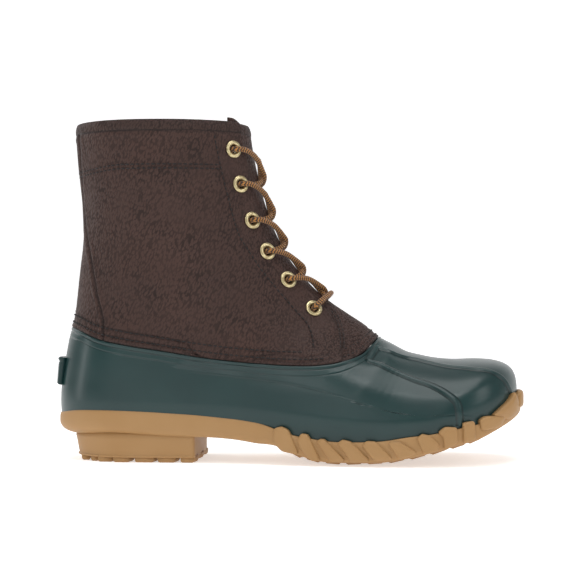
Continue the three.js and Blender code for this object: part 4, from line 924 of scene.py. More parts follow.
# Soft troughs and ridges of the quarters, in the side view: two ends, width and depth in mm.
CREASES = [
    ((0.2, 0.62), (0.36, 0.56), 9, 0.5), ((0.14, 0.55), (0.33, 0.5), 8, -0.35), ((0.36, 0.5), (0.47, 0.44), 7, 0.4),
    ((0.07, 0.6), (0.17, 0.66), 8, 0.4), ((0.1, 0.46), (0.2, 0.43), 7, 0.3), ((0.5, 0.42), (0.58, 0.36), 6, 0.35),
    ((0.24, 0.72), (0.36, 0.7), 10, 0.35),
]
BACKSTAY = [(0.0505, 0.99), (0.0526, 0.8628), (0.0545, 0.772), (0.0633, 0.684), (0.0753, 0.6114), (0.0885, 0.5399),
            (0.0983, 0.4779), (0.1045, 0.4544), (0.1124, 0.4134), (0.1144, 0.33)]


QUARTER_TURNS = even_turns(400, QUARTER_TURN, np.pi, [lambda a: at_joint(a, 0), lambda a: at_height(a, COLLAR_HEIGHT)])


def quarter_chart(drop, height, v, u):
    """The quarters from the joint (v 0) to a height (1), from one front edge (u 0) round to the other."""
    front_t, front_a = edge_between(drop, height)(v)
    share = 1 - np.abs(2 * u - 1)
    turn = np.interp(share, np.linspace(0, 1, len(QUARTER_TURNS)), QUARTER_TURNS)
    turn = turn + (front_a[:, None] - QUARTER_TURN) * ease(0.3, 0, share)
    low, high = at_joint(turn, drop), at_height(turn, height)
    plain = low + (high - low) * v[:, None]
    first = at_joint(front_a, drop) + (at_height(front_a, height) - at_joint(front_a, drop)) * v
    bend = (front_t - first)[:, None] * ease(1, 0, share)
    return plain + bend, np.where(u <= 0.5, turn, 2 * np.pi - turn)


def segment_distance(x, z, first, second):
    ax, az, bx, bz = px(first[0]), pz(first[1]), px(second[0]), pz(second[1])
    share = np.clip(((x - ax) * (bx - ax) + (z - az) * (bz - az)) / ((bx - ax) ** 2 + (bz - az) ** 2), 0, 1)
    return np.hypot(x - ax - (bx - ax) * share, z - az - (bz - az) * share), share


def crease_lift(p):
    total = np.zeros(p.shape[:2])
    side = 1 - ease(-0.012, 0.012, p[..., 1]) * 0.35
    for first, second, width, deep in CREASES:
        far, share = segment_distance(p[..., 0], p[..., 2], first, second)
        total -= 1.5 * deep * MM * np.exp(-(far / (width * MM)) ** 2) * (0.35 + 0.65 * np.sin(np.pi * share)) * side
    return total


def line_distance(p, line):
    far = [segment_distance(p[..., 0], p[..., 2], a, b)[0] for a, b in zip(line[:-1], line[1:])]
    return np.minimum.reduce(far)


def leather_quarters(materials):
    rows = spaced([0, 0.002, 0.005, 0.009, 0.014], LEATHER_ROWS)
    half = spaced([0, 0.0008, 0.002, 0.0035, 0.006], LEATHER_COLUMNS)
    top = COLLAR_HEIGHT - 0.003
    t, a = quarter_chart(GAP, top, rows, half)
    p = surface(t, a)
    du = np.linalg.norm(np.diff(p, axis=1, prepend=p[:, :1]), axis=-1).cumsum(1)
    dv = np.linalg.norm(np.diff(p, axis=0, prepend=p[:1]), axis=-1).cumsum(0)
    rim = border_round(*t.shape, [du, du[:, -1:] - du, dv], 0.0008)
    seam_and_shade = line_distance(p, BACKSTAY)
    puff = 0.0005 * (bump_at(seam_and_shade - 0.0022, 0.0022) + bump_at(dv - 0.0105, 0.002) * 0.5)
    groove = 0.0012 * bump_at(seam_and_shade, 0.0011)
    pull = 0.00045 * bump_at(dv - 0.0038, 0.0012) + 0.00045 * bump_at(dv - 0.0088, 0.0012)
    bound = p[..., 2] - COLLAR_HEIGHT + BINDING_HEIGHT
    tuck = 0.0007 * ease(-0.0002, 0.0014, bound) - 0.0004 * bump_at(bound + 0.0028, 0.0026)
    edge = 0.0004 * (1 - ease(0.0015, 0.004, dv))
    lift = crease_lift(p) - rim - groove + puff - pull - tuck + edge
    face = surface(t, a, lift)
    back = surface(t, a, -LEATHER_WALL + rim * 0.6 + 0.0003 * ease(0, 0.002, bound))
    made = thick_sheet("leather_quarters", face, back, surface_uv(face))
    # Painted shade: darker in the backstay seam's groove, at the bottom and side edges, under the binding and along the
    # joint stitch rows.
    painted_shade = np.maximum(bump_at(seam_and_shade, 0.0012), 0.85 * (1 - ease(0, 0.0016, dv)))
    painted_shade = np.maximum(painted_shade, 0.6 * (1 - ease(0, 0.0012, np.minimum(du, du[:, -1:] - du))))
    painted_shade = np.maximum(painted_shade, 0.95 * ease(-0.0011, -0.0001, bound))
    for rise in JOINT_ROWS:
        painted_shade = np.maximum(painted_shade, 0.45 * bump_at(dv - rise, 0.0012))
    add_face_attribute(made, "seam_and_shade", np.concatenate([painted_shade.ravel(), np.zeros(painted_shade.size)]))
    cut_eyelet_holes(made)
    return finish_piece(made, materials["leather"], "leather", "leather_upper")


def eyelet_places():
    """Each eyelet's point on the leather's face and its outward direction, top pair first."""
    t, a = chart_of(px(EYELETS[:, 0]), pz(EYELETS[:, 1]))
    return {side: (surface(t, turn), normals(t, turn), t, turn) for side, turn in (("outer", a), ("inner", other_side(a)))}


def cut_eyelet_holes(made):
    cutter = bmesh.new()
    for point, normal, *_ in eyelet_places().values():
        for p, n in zip(point, normal):
            turn = Vector(n).to_track_quat("Z", "Y").to_matrix().to_4x4()
            bmesh.ops.create_cone(cutter, cap_ends=True, segments=24, radius1=0.0033, radius2=0.0033, depth=0.012,
                                  matrix=Matrix.Translation(Vector(p)) @ turn)
    mesh = bpy.data.meshes.new("hole cutter")
    cutter.to_mesh(mesh)
    cutter.free()
    tool = bpy.data.objects.new("hole cutter", mesh)
    bpy.context.collection.objects.link(tool)
    modifier = made.modifiers.new("holes", "BOOLEAN")
    modifier.object, modifier.operation, modifier.solver = tool, "DIFFERENCE", "EXACT"
    plain_mesh(made)
    bpy.data.objects.remove(tool)


def plain_mesh(made):
    """Turns the modifiers' result into the object's own mesh."""
    result = bpy.data.meshes.new_from_object(made.evaluated_get(bpy.context.evaluated_depsgraph_get()))
    made.modifiers.clear()
    made.data = result


TONGUE_ROWS, TONGUE_COLUMNS = 150, 90


def tongue(materials):
    """The bellows tongue with the front leather it grows from, under both quarters."""
    v = spaced([0, 0.002, 0.005, 0.009], TONGUE_ROWS)
    u = np.linspace(-1, 1, TONGUE_COLUMNS)
    top = COLLAR_HEIGHT - 0.0012 + (TONGUE_RISE + 0.0012) * ease(0.5, 0.9, np.abs(u))
    edge_t, edge_a = edge_between(-GAP / 2, COLLAR_HEIGHT)(v)
    speed = np.linalg.norm(surface(edge_t, edge_a + CHART_NUDGE) - surface(edge_t, edge_a), axis=-1) / CHART_NUDGE
    turn = u[None, :] * (edge_a + TONGUE_LAP * 0.9 / speed)[:, None]
    past = np.clip((np.abs(turn) - edge_a[:, None]) * speed[:, None] / TONGUE_LAP, 0, 1)
    a = np.mod(turn, 2 * np.pi)
    low = at_joint(a, -GAP / 2)
    high = at_height(a, np.broadcast_to(top, a.shape))
    t = low + (high - low) * (v[:, None] + past * 0.012 * (1 - v[:, None]))
    p = surface(t, a)
    dv = np.linalg.norm(np.diff(p, axis=0, prepend=p[:1]), axis=-1).cumsum(0)
    rim = border_round(*t.shape, [dv, dv[-1:] - dv], 0.0008)
    sink = TONGUE_SINK + TONGUE_EYELET_SINK * ease(pz(0.35), pz(0.43), p[..., 2])
    pull = 0.0004 * (bump_at(dv - 0.0038, 0.0012) + bump_at(dv - 0.0088, 0.0012))
    face = surface(t, a, -sink - rim - pull)
    back = surface(t, a, -sink - TONGUE_WALL + rim * 0.6)
    made = thick_sheet("bellows_tongue", face, back, surface_uv(face))
    # Painted shade along the bottom edge, in the gap by the rubber.
    painted_shade = 0.85 * (1 - ease(0, 0.0016, dv))
    add_face_attribute(made, "seam_and_shade", np.concatenate([painted_shade.ravel(), np.zeros(painted_shade.size)]))
    return finish_piece(made, materials["leather"], "leather", "tongue")


BINDING_PROUD, BINDING_BACK, BINDING_LEAN, BINDING_TURNS = 0.00025, 0.00045, 0.0007, 28
BINDING_COLUMNS, FRONT_COLUMNS = 420, 90


def rolled_binding(name, around, end_taper, sink, wall, materials, *nodes):
    """A leather strip rolled over an edge that runs round the form at collar height."""
    lowest = COLLAR_HEIGHT - BINDING_HEIGHT
    angle = np.linspace(0, 2 * np.pi, BINDING_TURNS, endpoint=False) + 0.11
    up = 0.5 + 0.5 * np.sign(np.sin(angle)) * np.abs(np.sin(angle)) ** 0.7
    out = np.sign(np.cos(angle)) * np.abs(np.cos(angle)) ** 0.5
    half = (wall + BINDING_PROUD + BINDING_BACK) / 2
    middle = (BINDING_PROUD - wall - BINDING_BACK) / 2 - sink
    rows = []
    for high, side in zip(up, out):
        z = lowest + BINDING_HEIGHT * (0.5 + (high - 0.5) * (0.55 + 0.45 * end_taper))
        lean = BINDING_LEAN * ease(0.35, 1, high)
        rows.append(surface(at_height(around, z), around, middle + half * side * end_taper - lean))
    grid = np.array(rows).transpose(1, 0, 2)
    n, m = grid.shape[:2]
    vertices = np.concatenate([grid.reshape(-1, 3), [grid[0].mean(0), grid[-1].mean(0)]])
    ring = np.arange(m)
    faces = [tuple(f) for f in grid_faces(n, m, 0, True)]
    faces += [(n * m, b, a) for a, b in zip(ring, np.roll(ring, -1))]
    faces += [(n * m + 1, a + (n - 1) * m, b + (n - 1) * m) for a, b in zip(ring, np.roll(ring, -1))]
    made = new_object(name, vertices, faces)
    # Painted shade along the roll's lower edge, where it meets the leather.
    add_face_attribute(made, "seam_and_shade", np.append(np.tile(0.9 * (1 - ease(0.02, 0.14, up)), n), [0, 0]))
    return finish_piece(outwards(made), materials["binding"], "leather", *nodes)


def collar_binding(materials):
    u = spaced([0, 0.001, 0.0025, 0.0045], BINDING_COLUMNS)
    around = quarter_chart(0, COLLAR_HEIGHT, np.array([1.0]), u)[1][0]
    taper = np.sqrt(np.clip(1 - (1 - np.clip(np.minimum(u, 1 - u) / 0.004, 0, 1)) ** 2, 0.04, 1))
    rolled_binding("collar_band", around, taper, 0, LEATHER_WALL, materials, "collar_binding")
    front = np.linspace(-1, 1, FRONT_COLUMNS)
    around = np.mod(front * around[0] * 1.04, 2 * np.pi)
    sink = TONGUE_SINK + TONGUE_EYELET_SINK - 0.0002
    rolled_binding("tongue_band", around, np.ones(FRONT_COLUMNS), sink, TONGUE_WALL, materials)


# The sole.
SOLE = {"band": 0.0007, "valley": 0.0023, "strand": 0.0044, "rope_start": 0.37, "heel_front": 0.04,
        "heel_inset": 0.0098, "heel_side_inset": 0.003, "web_drop": 0.0008}


def sole_loop():
    """The sole's outline in plan, round by the outer side to the toe and back by the inner side."""
    share = (1 - np.cos(np.linspace(0, np.pi, 500))) / 2
    x = px(0) + (px(1) - px(0)) * share
    inside = np.clip(x, px(0) + 2e-5, px(1) - 2e-5)
    half, middle, _ = form_at(inside, np.maximum(sole_rim(x), feather(x) + pz(0.03)))
    outer = np.column_stack([x, middle - half])
    inner = np.column_stack([x, middle + half])[::-1]
    loop = np.concatenate([outer, inner])
    far = path_length(loop)
    keep = np.append(True, np.diff(far) > 1e-7)
    return loop[keep], far[keep], far[np.argmax(loop[keep][:, 0])]


LOOP, LOOP_FAR, TOE_FAR = sole_loop()
LOOP_LENGTH = LOOP_FAR[-1]
_even = np.linspace(0, LOOP_LENGTH, 1601)
_loop_x = np.interp(_even, LOOP_FAR, LOOP[:, 0])
_loop_y = np.interp(_even, LOOP_FAR, LOOP[:, 1])


def smoothed(values, width):
    kernel = np.hanning(2 * width + 1)
    kernel /= kernel.sum()
    body = values[:-1]
    wrapped = np.concatenate([body[-width:], body, body[:width]])
    result = np.convolve(wrapped, kernel, "valid")
    return np.append(result, result[0])


_loop_x, _loop_y = smoothed(_loop_x, 12), smoothed(_loop_y, 12)
_way_x = smoothed(np.append(np.diff(_loop_x), np.diff(_loop_x)[0]), 14)
_way_y = smoothed(np.append(np.diff(_loop_y), np.diff(_loop_y)[0]), 14)
_way = np.hypot(_way_x, _way_y)


def on_loop(s):
    """Plan points and outward directions at distances round the sole."""
    s = np.mod(s, LOOP_LENGTH)
    x, y = np.interp(s, _even, _loop_x), np.interp(s, _even, _loop_y)
    nx, ny = np.interp(s, _even, _way_y / _way), np.interp(s, _even, -_way_x / _way)
    return np.stack([x, y], -1), np.stack([nx, ny], -1)


def loop_at(x, side):
    """How far round the sole its outer face reaches a place along the boot, on the outer or inner side."""
    s = np.linspace(0, TOE_FAR, 900) if side < 0 else np.linspace(LOOP_LENGTH, TOE_FAR, 900)
    p, n = on_loop(s)
    return np.interp(x, np.maximum.accumulate(p[:, 0] + n[:, 0] * SOLE["strand"]), s)


SIDE_STATIONS = 420
# Columns: height share, outward offset and drop in mm of the sole's side wall, from the floor side up.
WALL_LEVELS = np.array([
    (0.0, -7, 0), (0.0, -3.4, 0), (0.03, -2.2, 0), (0.08, -1.3, 0), (0.15, -0.7, 0), (0.24, -0.3, 0), (0.36, -0.1, 0),
    (0.5, 0, 0), (0.64, 0, 0), (0.78, -0.05, 0), (0.87, -0.15, 0), (0.94, -0.4, 0), (0.98, -0.8, 0), (1.0, -1.3, 0),
    (1.0, -2.1, -0.2),
])


def sole_body(materials):
    """The sole's body: band round heel and waist, the web behind the rope, arch, and bed for the foot."""
    outer = np.linspace(0, TOE_FAR, SIDE_STATIONS)
    inner = np.linspace(TOE_FAR, LOOP_LENGTH, SIDE_STATIONS)[1:-1]
    s = np.concatenate([outer, inner])
    p, n = on_loop(s)
    x = p[:, 0]
    rope = ease(px(0.435), px(0.49), x)
    proud = SOLE["band"] + (SOLE["valley"] - SOLE["band"]) * rope
    at_back = 1 - ease(px(-0.01), px(0.16), x)
    rim = sole_rim(x) - SOLE["web_drop"] * rope - 0.0015 * (1 - ease(px(0), px(0.25), x))
    under = np.maximum(0, sole_underside(x))
    rings = []
    round_heel = 1 - ease(px(0.1), px(0.3), x)
    for up, out, drop in WALL_LEVELS:
        low_round = np.where(out < 0, 1 + 1.1 * round_heel * (up < 0.5), 1)
        lifted_under = under + 0.0022 * (1 - at_back) * np.maximum(round_heel, rope)
        z = lifted_under + (rim - lifted_under) * up + drop * MM
        reach = proud + out * MM * low_round - 0.0055 * at_back * max(0, 1 - up / 0.6) ** 2
        rings.append(np.column_stack([p + n * reach[:, None], z]))
    for reach, z in ((-0.0012, feather(x) + 0.001), (-0.0045, feather(x)), (-0.012, feather(x))):
        rings.append(np.column_stack([p + n * reach, z]))
    grid = np.array(rings)
    count = len(s)
    faces = [grid_faces(len(rings), count, 0, True)]
    k = np.arange(1, SIDE_STATIONS - 1)
    for base, flip in ((0, False), ((len(rings) - 1) * count, True)):
        a, b = base + k[:-1], base + k[1:]
        c, d = base + count - k[1:], base + count - k[:-1]
        quads = np.column_stack([a, b, c, d])
        faces.append(quads[:, ::-1] if flip else quads)
    tips = []
    for base in (0, (len(rings) - 1) * count):
        tips += [(base, base + 1, base + count - 1),
                 (base + SIDE_STATIONS - 1, base + SIDE_STATIONS, base + SIDE_STATIONS - 2)]
    uv = surface_uv(grid).reshape(-1, 2)
    made = new_object("sole_body", grid.reshape(-1, 3), [tuple(f) for f in np.concatenate(faces)] + tips, uv)
    return finish_piece(outwards(made), materials["sole"], "sole_rubber", "outsole")


# The rope edge's strands on the outer side, from the waist to the toe: corners in mm, along and up.
STRANDS = [
    [(92.2, 23.6), (96.8, 25), (101.8, 22.6), (108.6, 6.9), (97.3, 9.1), (91.7, 14.7)],
    [(107.4, 17.2), (109.9, 20.8), (114.3, 20), (122.2, 3.8), (116.6, 3.2), (108.7, 11.6)],
    [(119.6, 16), (122, 17.6), (124.9, 17.2), (138.6, 3.6), (128.3, 3.3), (124.4, 9.3)],
    [(132.6, 14.8), (135.7, 17.3), (141.6, 16.1), (154.2, 3.7), (141.2, 3), (137.8, 8.7)],
    [(148.3, 13.6), (151, 16.6), (157.1, 16.4), (168.5, 5.2), (156.4, 3.9), (152.1, 8.8)],
    [(164.8, 15), (167.4, 16.9), (172.3, 16.5), (184, 9.4), (172.1, 5.2), (167.4, 11.5)],
    [(183, 18.9), (186.3, 21.4), (191.3, 20.2), (197.4, 15.2), (196.3, 11.2), (187.8, 8.1), (184, 15.4)],
    [(196.3, 22.3), (200.6, 25.7), (208.6, 25.4), (209.1, 16.1), (200.1, 10.5), (199.5, 19.2)],
    [(212.1, 27.9), (214.2, 28.5), (219.7, 29.2), (220.6, 17.6), (212.3, 14.7)],
    [(223, 29.4), (226.8, 32), (240.9, 31.8), (236.6, 24.7), (224, 22.7)],
    [(231.7, 31.9), (238.5, 36.9), (245.3, 42.2), (247.7, 46.4), (249.8, 39.9), (249.2, 33.8), (242.4, 29)],
]
# The block over the toe: half its length round the sole at foot and head, and its heights, in mm.
TOE_BLOCK = {"foot": 20, "head": 15, "low": 35.5, "high": 46}
STRAND_POINTS, STRAND_HALF = 56, 3.4
# Columns: inset and height over the web in mm, from the strand's buried edge to its back.
STRAND_RINGS = [(0, -2.6), (0, 0.6), (0.12, 1.15), (0.4, 1.6), (0.85, 1.93), (1.4, 2.12), (2.1, 2.22)]


def rounded_outline(corners, count, reach=0.24):
    """A closed outline with its corners rounded over a share of each edge, at even steps."""
    here = np.asarray(corners, float)
    before, after = np.roll(here, 1, axis=0), np.roll(here, -1, axis=0)
    first, last = here + (before - here) * reach, here + (after - here) * reach
    s = np.linspace(0, 1, 8)[None, :, None]
    points = first[:, None] * (1 - s) ** 2 + here[:, None] * 2 * s * (1 - s) + last[:, None] * s ** 2
    points = points.reshape(-1, 2)
    loop = np.concatenate([points, points[:1]])
    far = path_length(loop)
    at = np.linspace(0, far[-1], count, endpoint=False)
    return np.column_stack([np.interp(at, far, loop[:, 0]), np.interp(at, far, loop[:, 1])])


def strand_mesh(outline, tall=1.0):
    """A strand as a pillow on the sole's edge. Its outline is in metres round the sole and up."""
    middle = outline.mean(0)
    rings = []
    for inset, high in STRAND_RINGS:
        moved = middle + (outline - middle) * (1 - inset / STRAND_HALF)
        p, n = on_loop(moved[:, 0])
        reach = SOLE["valley"] + high * tall * MM
        rings.append(np.column_stack([p + n * reach, moved[:, 1]]))
    hub, away = on_loop(middle[0])
    caps = [np.append(hub + away * (SOLE["valley"] + STRAND_RINGS[k][1] * tall * MM + extra), middle[1])
            for k, extra in ((0, 0), (-1, 0.0001))]
    return rings, caps


def rope_outlines():
    for side in (-1, 1):
        for corners in STRANDS:
            x, z = np.asarray(corners).T * MM
            yield rounded_outline(np.column_stack([loop_at(x, side), z]), STRAND_POINTS), 1.0
    foot, head, low, high = (TOE_BLOCK[key] * MM for key in ("foot", "head", "low", "high"))
    corners = [(-foot, low), (-head, high), (head, high), (foot, low)]
    yield rounded_outline(np.array(corners) + (TOE_FAR, 0), 2 * STRAND_POINTS), 0.85


def rope_edge(materials):
    vertices, faces, offset = [], [], 0
    for outline, tall in rope_outlines():
        rings, caps = strand_mesh(outline, tall)
        m, n = len(outline), len(rings)
        vertices += [*rings, np.array(caps)]
        faces += [tuple(f) for f in grid_faces(n, m, offset, True)]
        ring = np.arange(m)
        after = np.roll(ring, -1)
        hub, last = offset + n * m, offset + (n - 1) * m
        faces += [(hub, offset + b, offset + a) for a, b in zip(ring, after)]
        faces += [(hub + 1, last + a, last + b) for a, b in zip(ring, after)]
        offset += n * m + 2
    made = new_object("rope_edge", np.concatenate(vertices), faces)
    return finish_piece(outwards(made), materials["sole"], "sole_rubber")


def heel_outline(inset):
    """Half the heel block's plan, drawn in from the cup, from the back to the breast."""
    s = loop_at(np.linspace(px(0) - SOLE["strand"], SOLE["heel_front"], 60), -1)
    p, _ = on_loop(s)
    reach, half = SOLE["heel_front"] - px(0), -p[:, 1].min()
    along = (p[:, 0] - px(0)) / reach
    x = px(0) + SOLE["heel_inset"] + inset + along * (reach - SOLE["heel_inset"] - inset)
    return x, p[:, 1] * (half - SOLE["heel_side_inset"] - inset / 2) / half


def rounded_loop(x, y, corner, count):
    """A closed plan outline from its outer half, mirrored, with its front corners rounded."""
    outer = np.column_stack([x, y])
    outer = outer[outer[:, 0] <= x[-1] - corner]
    arc = np.linspace(0, np.pi / 2, 8)
    tip = np.array([x[-1] - corner, y[-1] + corner])
    turn = tip + corner * np.column_stack([np.sin(arc), -np.cos(arc)])
    half = np.concatenate([outer, turn])
    loop = np.concatenate([half, (half * (1, -1))[::-1]])
    loop = np.concatenate([loop, loop[:1]])
    far = path_length(loop)
    at = np.linspace(0, far[-1], count, endpoint=False)
    return np.column_stack([np.interp(at, far, loop[:, 0]), np.interp(at, far, loop[:, 1])])


# Columns: height and inset in mm of the heel block, from its underside to the cup.
HEEL_LEVELS = [(3.2, 6.5), (3.2, 2.6), (3.6, 1.9), (4.4, 1.75), (4.7, 2.3), (5.2, 2.5), (8, 1.9), (12, 1.1), (15, 0.5),
               (16.6, 0.1), (17.2, 0.6), (19.5, 0.6)]
HEEL_POINTS = 260


def heel_block(materials):
    rings = []
    for z, inset in HEEL_LEVELS:
        x, y = heel_outline(inset * MM)
        loop = rounded_loop(x, y, 0.0022, HEEL_POINTS)
        rings.append(np.column_stack([loop, np.full(HEEL_POINTS, z * MM)]))
    return closed_loft("heel_block", rings, materials["sole"], "sole_rubber")


def closed_loft(name, rings, material, slot, *nodes):
    grid = np.array(rings)
    n, m = grid.shape[:2]
    vertices = np.concatenate([grid.reshape(-1, 3), [grid[0].mean(0), grid[-1].mean(0)]])
    ring = np.arange(m)
    after = np.roll(ring, -1)
    faces = [tuple(f) for f in grid_faces(n, m, 0, True)]
    faces += [(n * m, b, a) for a, b in zip(ring, after)]
    faces += [(n * m + 1, a + (n - 1) * m, b + (n - 1) * m) for a, b in zip(ring, after)]
    made = new_object(name, vertices, faces)
    return finish_piece(outwards(made), material, slot, *nodes)


# Heel lugs on the outer side: where each starts and ends along the boot, in mm.
HEEL_LUGS = [(-37.5, -31.5), (-30, -25), (-23.6, -14), (-12.6, -2), (1.6, 14), (16.5, 28), (31.4, 40.2)]
FORE_LUGS = [(103, 111), (114, 123), (126, 136), (139, 149), (152, 162), (165, 175), (178, 188), (191, 201), (204, 213),
             (216, 224)]
LUG_WAVE, LUG_ACROSS = 0.0016, 36


def tread_lugs(materials):
    """Ribs across the tread with wavy sides, under the heel and the forefoot."""
    grids = []
    for zone, lugs in (("heel", HEEL_LUGS), ("fore", FORE_LUGS)):
        for first, last in lugs:
            grids.append(lug_rings(first * MM, last * MM, zone))
    vertices, faces, offset = [], [], 0
    for grid in grids:
        n, m = grid.shape[:2]
        vertices.append(grid.reshape(-1, 3))
        faces += [tuple(f) for f in grid_faces(n, m, offset, True)]
        faces += [tuple(offset + np.arange(m))[::-1], tuple(offset + (n - 1) * m + np.arange(m))]
        offset += n * m
    made = new_object("tread_lugs", np.concatenate(vertices), faces)
    return finish_piece(outwards(made), materials["sole"], "sole_rubber")


def lug_rings(first, last, zone):
    middle = (first + last) / 2
    if zone == "heel":
        hx, hy = heel_outline(0.0034)
        half = np.interp(np.clip(middle, hx[0], hx[-1]), hx, -hy) - 0.0006
        low, high, centre = 0.0, 0.0042, 0.0
    else:
        p, _ = on_loop(np.array([loop_at(middle, -1), loop_at(middle, 1)]))
        half, centre = (p[1, 1] - p[0, 1]) / 2 - 0.008, (p[1, 1] + p[0, 1]) / 2
        low = max(0.0, float(sole_underside(middle)))
        high = low + 0.0045
    y = np.linspace(-1, 1, LUG_ACROSS)
    wave = LUG_WAVE * (0.5 if zone == "heel" else 1) * np.sin(y * half / 0.0042)
    rise = lambda x: 0.0 if zone == "heel" else max(0.0, float(sole_underside(x)) + 0.0008) - low
    rows = []
    for z, inset in ((high, 0.0), (low + 0.0012, 0.0002), (low + 0.0004, 0.0006), (low, 0.0012)):
        side = centre + y * (half - inset)
        front = np.column_stack([last - inset + wave, side, np.full(LUG_ACROSS, max(0.0, z + rise(last)))])
        back = np.column_stack([first + inset + wave, side, np.full(LUG_ACROSS, max(0.0, z + rise(first)))])
        rows.append(np.concatenate([front, back[::-1]]))
    return np.array(rows)


# The eyelets: one ring turned on a lathe, set on points by Geometry Nodes.
EYELET_PROFILE = [(2.65, -2.7), (3.9, -2.7), (4.0, -2.45), (3.3, -2.2), (3.3, 0.2), (5.6, 0.2), (5.75, 0.45), (5.6, 0.8),
                  (5.1, 1.15), (4.4, 1.3), (3.7, 1.2), (3.0, 0.85), (2.72, 0.45), (2.65, 0.0), (2.65, -1.4)]


def lathe(name, profile, turns, scale):
    points = np.array(profile) * scale
    angle = np.linspace(0, 2 * np.pi, turns, endpoint=False)
    grid = np.stack([points[:, :1] * np.cos(angle), points[:, :1] * np.sin(angle),
                     np.broadcast_to(points[:, 1:], (len(points), turns))], -1)
    n = len(points)
    faces = [tuple(f) for f in grid_faces(n, turns, 0, True)]
    ring = np.arange(turns)
    faces += [tuple(f) for f in strip_faces(ring + (n - 1) * turns, ring, True)]
    return outwards(new_object(name, grid.reshape(-1, 3), faces))


def setter_tree(name):
    """Sets a copy of one small piece on every point of a mesh, turned as the point says."""
    tree = bpy.data.node_groups.new(name, "GeometryNodeTree")
    for label, kind in (("Places", "NodeSocketGeometry"), ("Piece", "NodeSocketObject"), ("Finish", "NodeSocketMaterial"),
                        ("Size", "NodeSocketFloat")):
        tree.interface.new_socket(label, in_out="INPUT", socket_type=kind)
    tree.interface.new_socket("Pieces", in_out="OUTPUT", socket_type="NodeSocketGeometry")
    source, result = tree.nodes.new("NodeGroupInput"), tree.nodes.new("NodeGroupOutput")
    piece = tree.nodes.new("GeometryNodeObjectInfo")
    tree.links.new(source.outputs["Piece"], piece.inputs["Object"])
    turn = tree.nodes.new("GeometryNodeInputNamedAttribute")
    turn.data_type = "FLOAT_VECTOR"
    turn.inputs["Name"].default_value = "turn"
    setting = tree.nodes.new("GeometryNodeInstanceOnPoints")
    tree.links.new(source.outputs["Places"], setting.inputs["Points"])
    tree.links.new(piece.outputs["Geometry"], setting.inputs["Instance"])
    tree.links.new(turn.outputs["Attribute"], setting.inputs["Rotation"])
    tree.links.new(source.outputs["Size"], setting.inputs["Scale"])
    real = tree.nodes.new("GeometryNodeRealizeInstances")
    tree.links.new(setting.outputs["Instances"], real.inputs["Geometry"])
    finish = tree.nodes.new("GeometryNodeSetMaterial")
    tree.links.new(real.outputs["Geometry"], finish.inputs["Geometry"])
    tree.links.new(source.outputs["Finish"], finish.inputs["Material"])
    tree.links.new(finish.outputs["Geometry"], result.inputs["Pieces"])
    return tree


def set_copies(name, tree, points, turns, piece, material, slot, *nodes, size=1.0):
    made = new_object(name, points, [])
    attribute = made.data.attributes.new("turn", "FLOAT_VECTOR", "POINT")
    attribute.data.foreach_set("vector", np.asarray(turns, float).ravel())
    modifier = made.modifiers.new("copies", "NODES")
    modifier.node_group = tree
    sockets = {item.name: item.identifier for item in tree.interface.items_tree if item.in_out == "INPUT"}
    modifier[sockets["Piece"]] = piece
    modifier[sockets["Finish"]] = material
    modifier[sockets["Size"]] = size
    plain_mesh(made)
    made.data.polygons.foreach_set("use_smooth", [True] * len(made.data.polygons))
    made.data.materials.clear()
    made.data.polygons.foreach_set("material_index", [0] * len(made.data.polygons))
    bpy.data.objects.remove(piece)
    return finish_piece(made, material, slot, *nodes)


def turn_of(x_axis, z_axis):
    x = Vector(x_axis).normalized()
    z = (Vector(z_axis) - x * Vector(z_axis).dot(x)).normalized()
    y = z.cross(x)
    return tuple(Matrix((x, y, z)).transposed().to_euler())


def eyelets(materials, tree):
    points, turns = [], []
    for point, normal, *_ in eyelet_places().values():
        for p, n in zip(point, normal):
            points.append(p)
            turns.append(turn_of(np.cross(n, (0.3, 1, 0.2)), n))
    names = [f"eyelet_{side}_{k}" for side in ("outer", "inner") for k in range(1, 7)]
    ring = lathe("eyelet ring", EYELET_PROFILE, 40, MM)
    return set_copies("brass_eyelets", tree, points, turns, ring, materials["brass"], "brass", *names)


# Stitching: rows of thread along lines of the leather, in shares of the side view.
STITCH = {"length": 0.0026, "pitch": 0.0034, "thick": 0.00045, "lift": 0.00022}


def stitch_capsule():
    """One stitch: a short arched thread that dips into the leather at both ends."""
    along = np.linspace(-1, 1, 9)
    turns = np.linspace(0, 2 * np.pi, 8, endpoint=False)
    rows = []
    for a in along:
        thick = STITCH["thick"] * (1 - 0.45 * abs(a) ** 3)
        middle = STITCH["lift"] - 0.00045 * a * a
        rows.append(np.column_stack([np.full(8, a * STITCH["length"] / 2), thick * np.cos(turns), middle + thick * np.sin(turns)]))
    grid = np.array(rows)
    n, m = grid.shape[:2]
    faces = [tuple(f) for f in grid_faces(n, m, 0, True)] + [tuple(range(m))[::-1], tuple((n - 1) * m + np.arange(m))]
    return outwards(new_object("stitch", grid.reshape(-1, 3), faces))


def stitch_row(t, a, lift):
    """Points and turns of the stitches along a path on the chart."""
    lift = np.broadcast_to(lift, t.shape)
    p = surface(t, a, lift)
    far = path_length(p)
    count = max(2, int(far[-1] / STITCH["pitch"]))
    at = (np.arange(count) + 0.5) * far[-1] / count
    spot = np.column_stack([np.interp(at, far, p[:, i]) for i in range(3)])
    ahead = np.column_stack([np.interp(at + 0.0004, far, p[:, i]) for i in range(3)])
    tt, aa = np.interp(at, far, t), np.interp(at, far, a)
    return spot, [turn_of(b - c, n) for b, c, n in zip(ahead, spot, normals(tt, aa))]


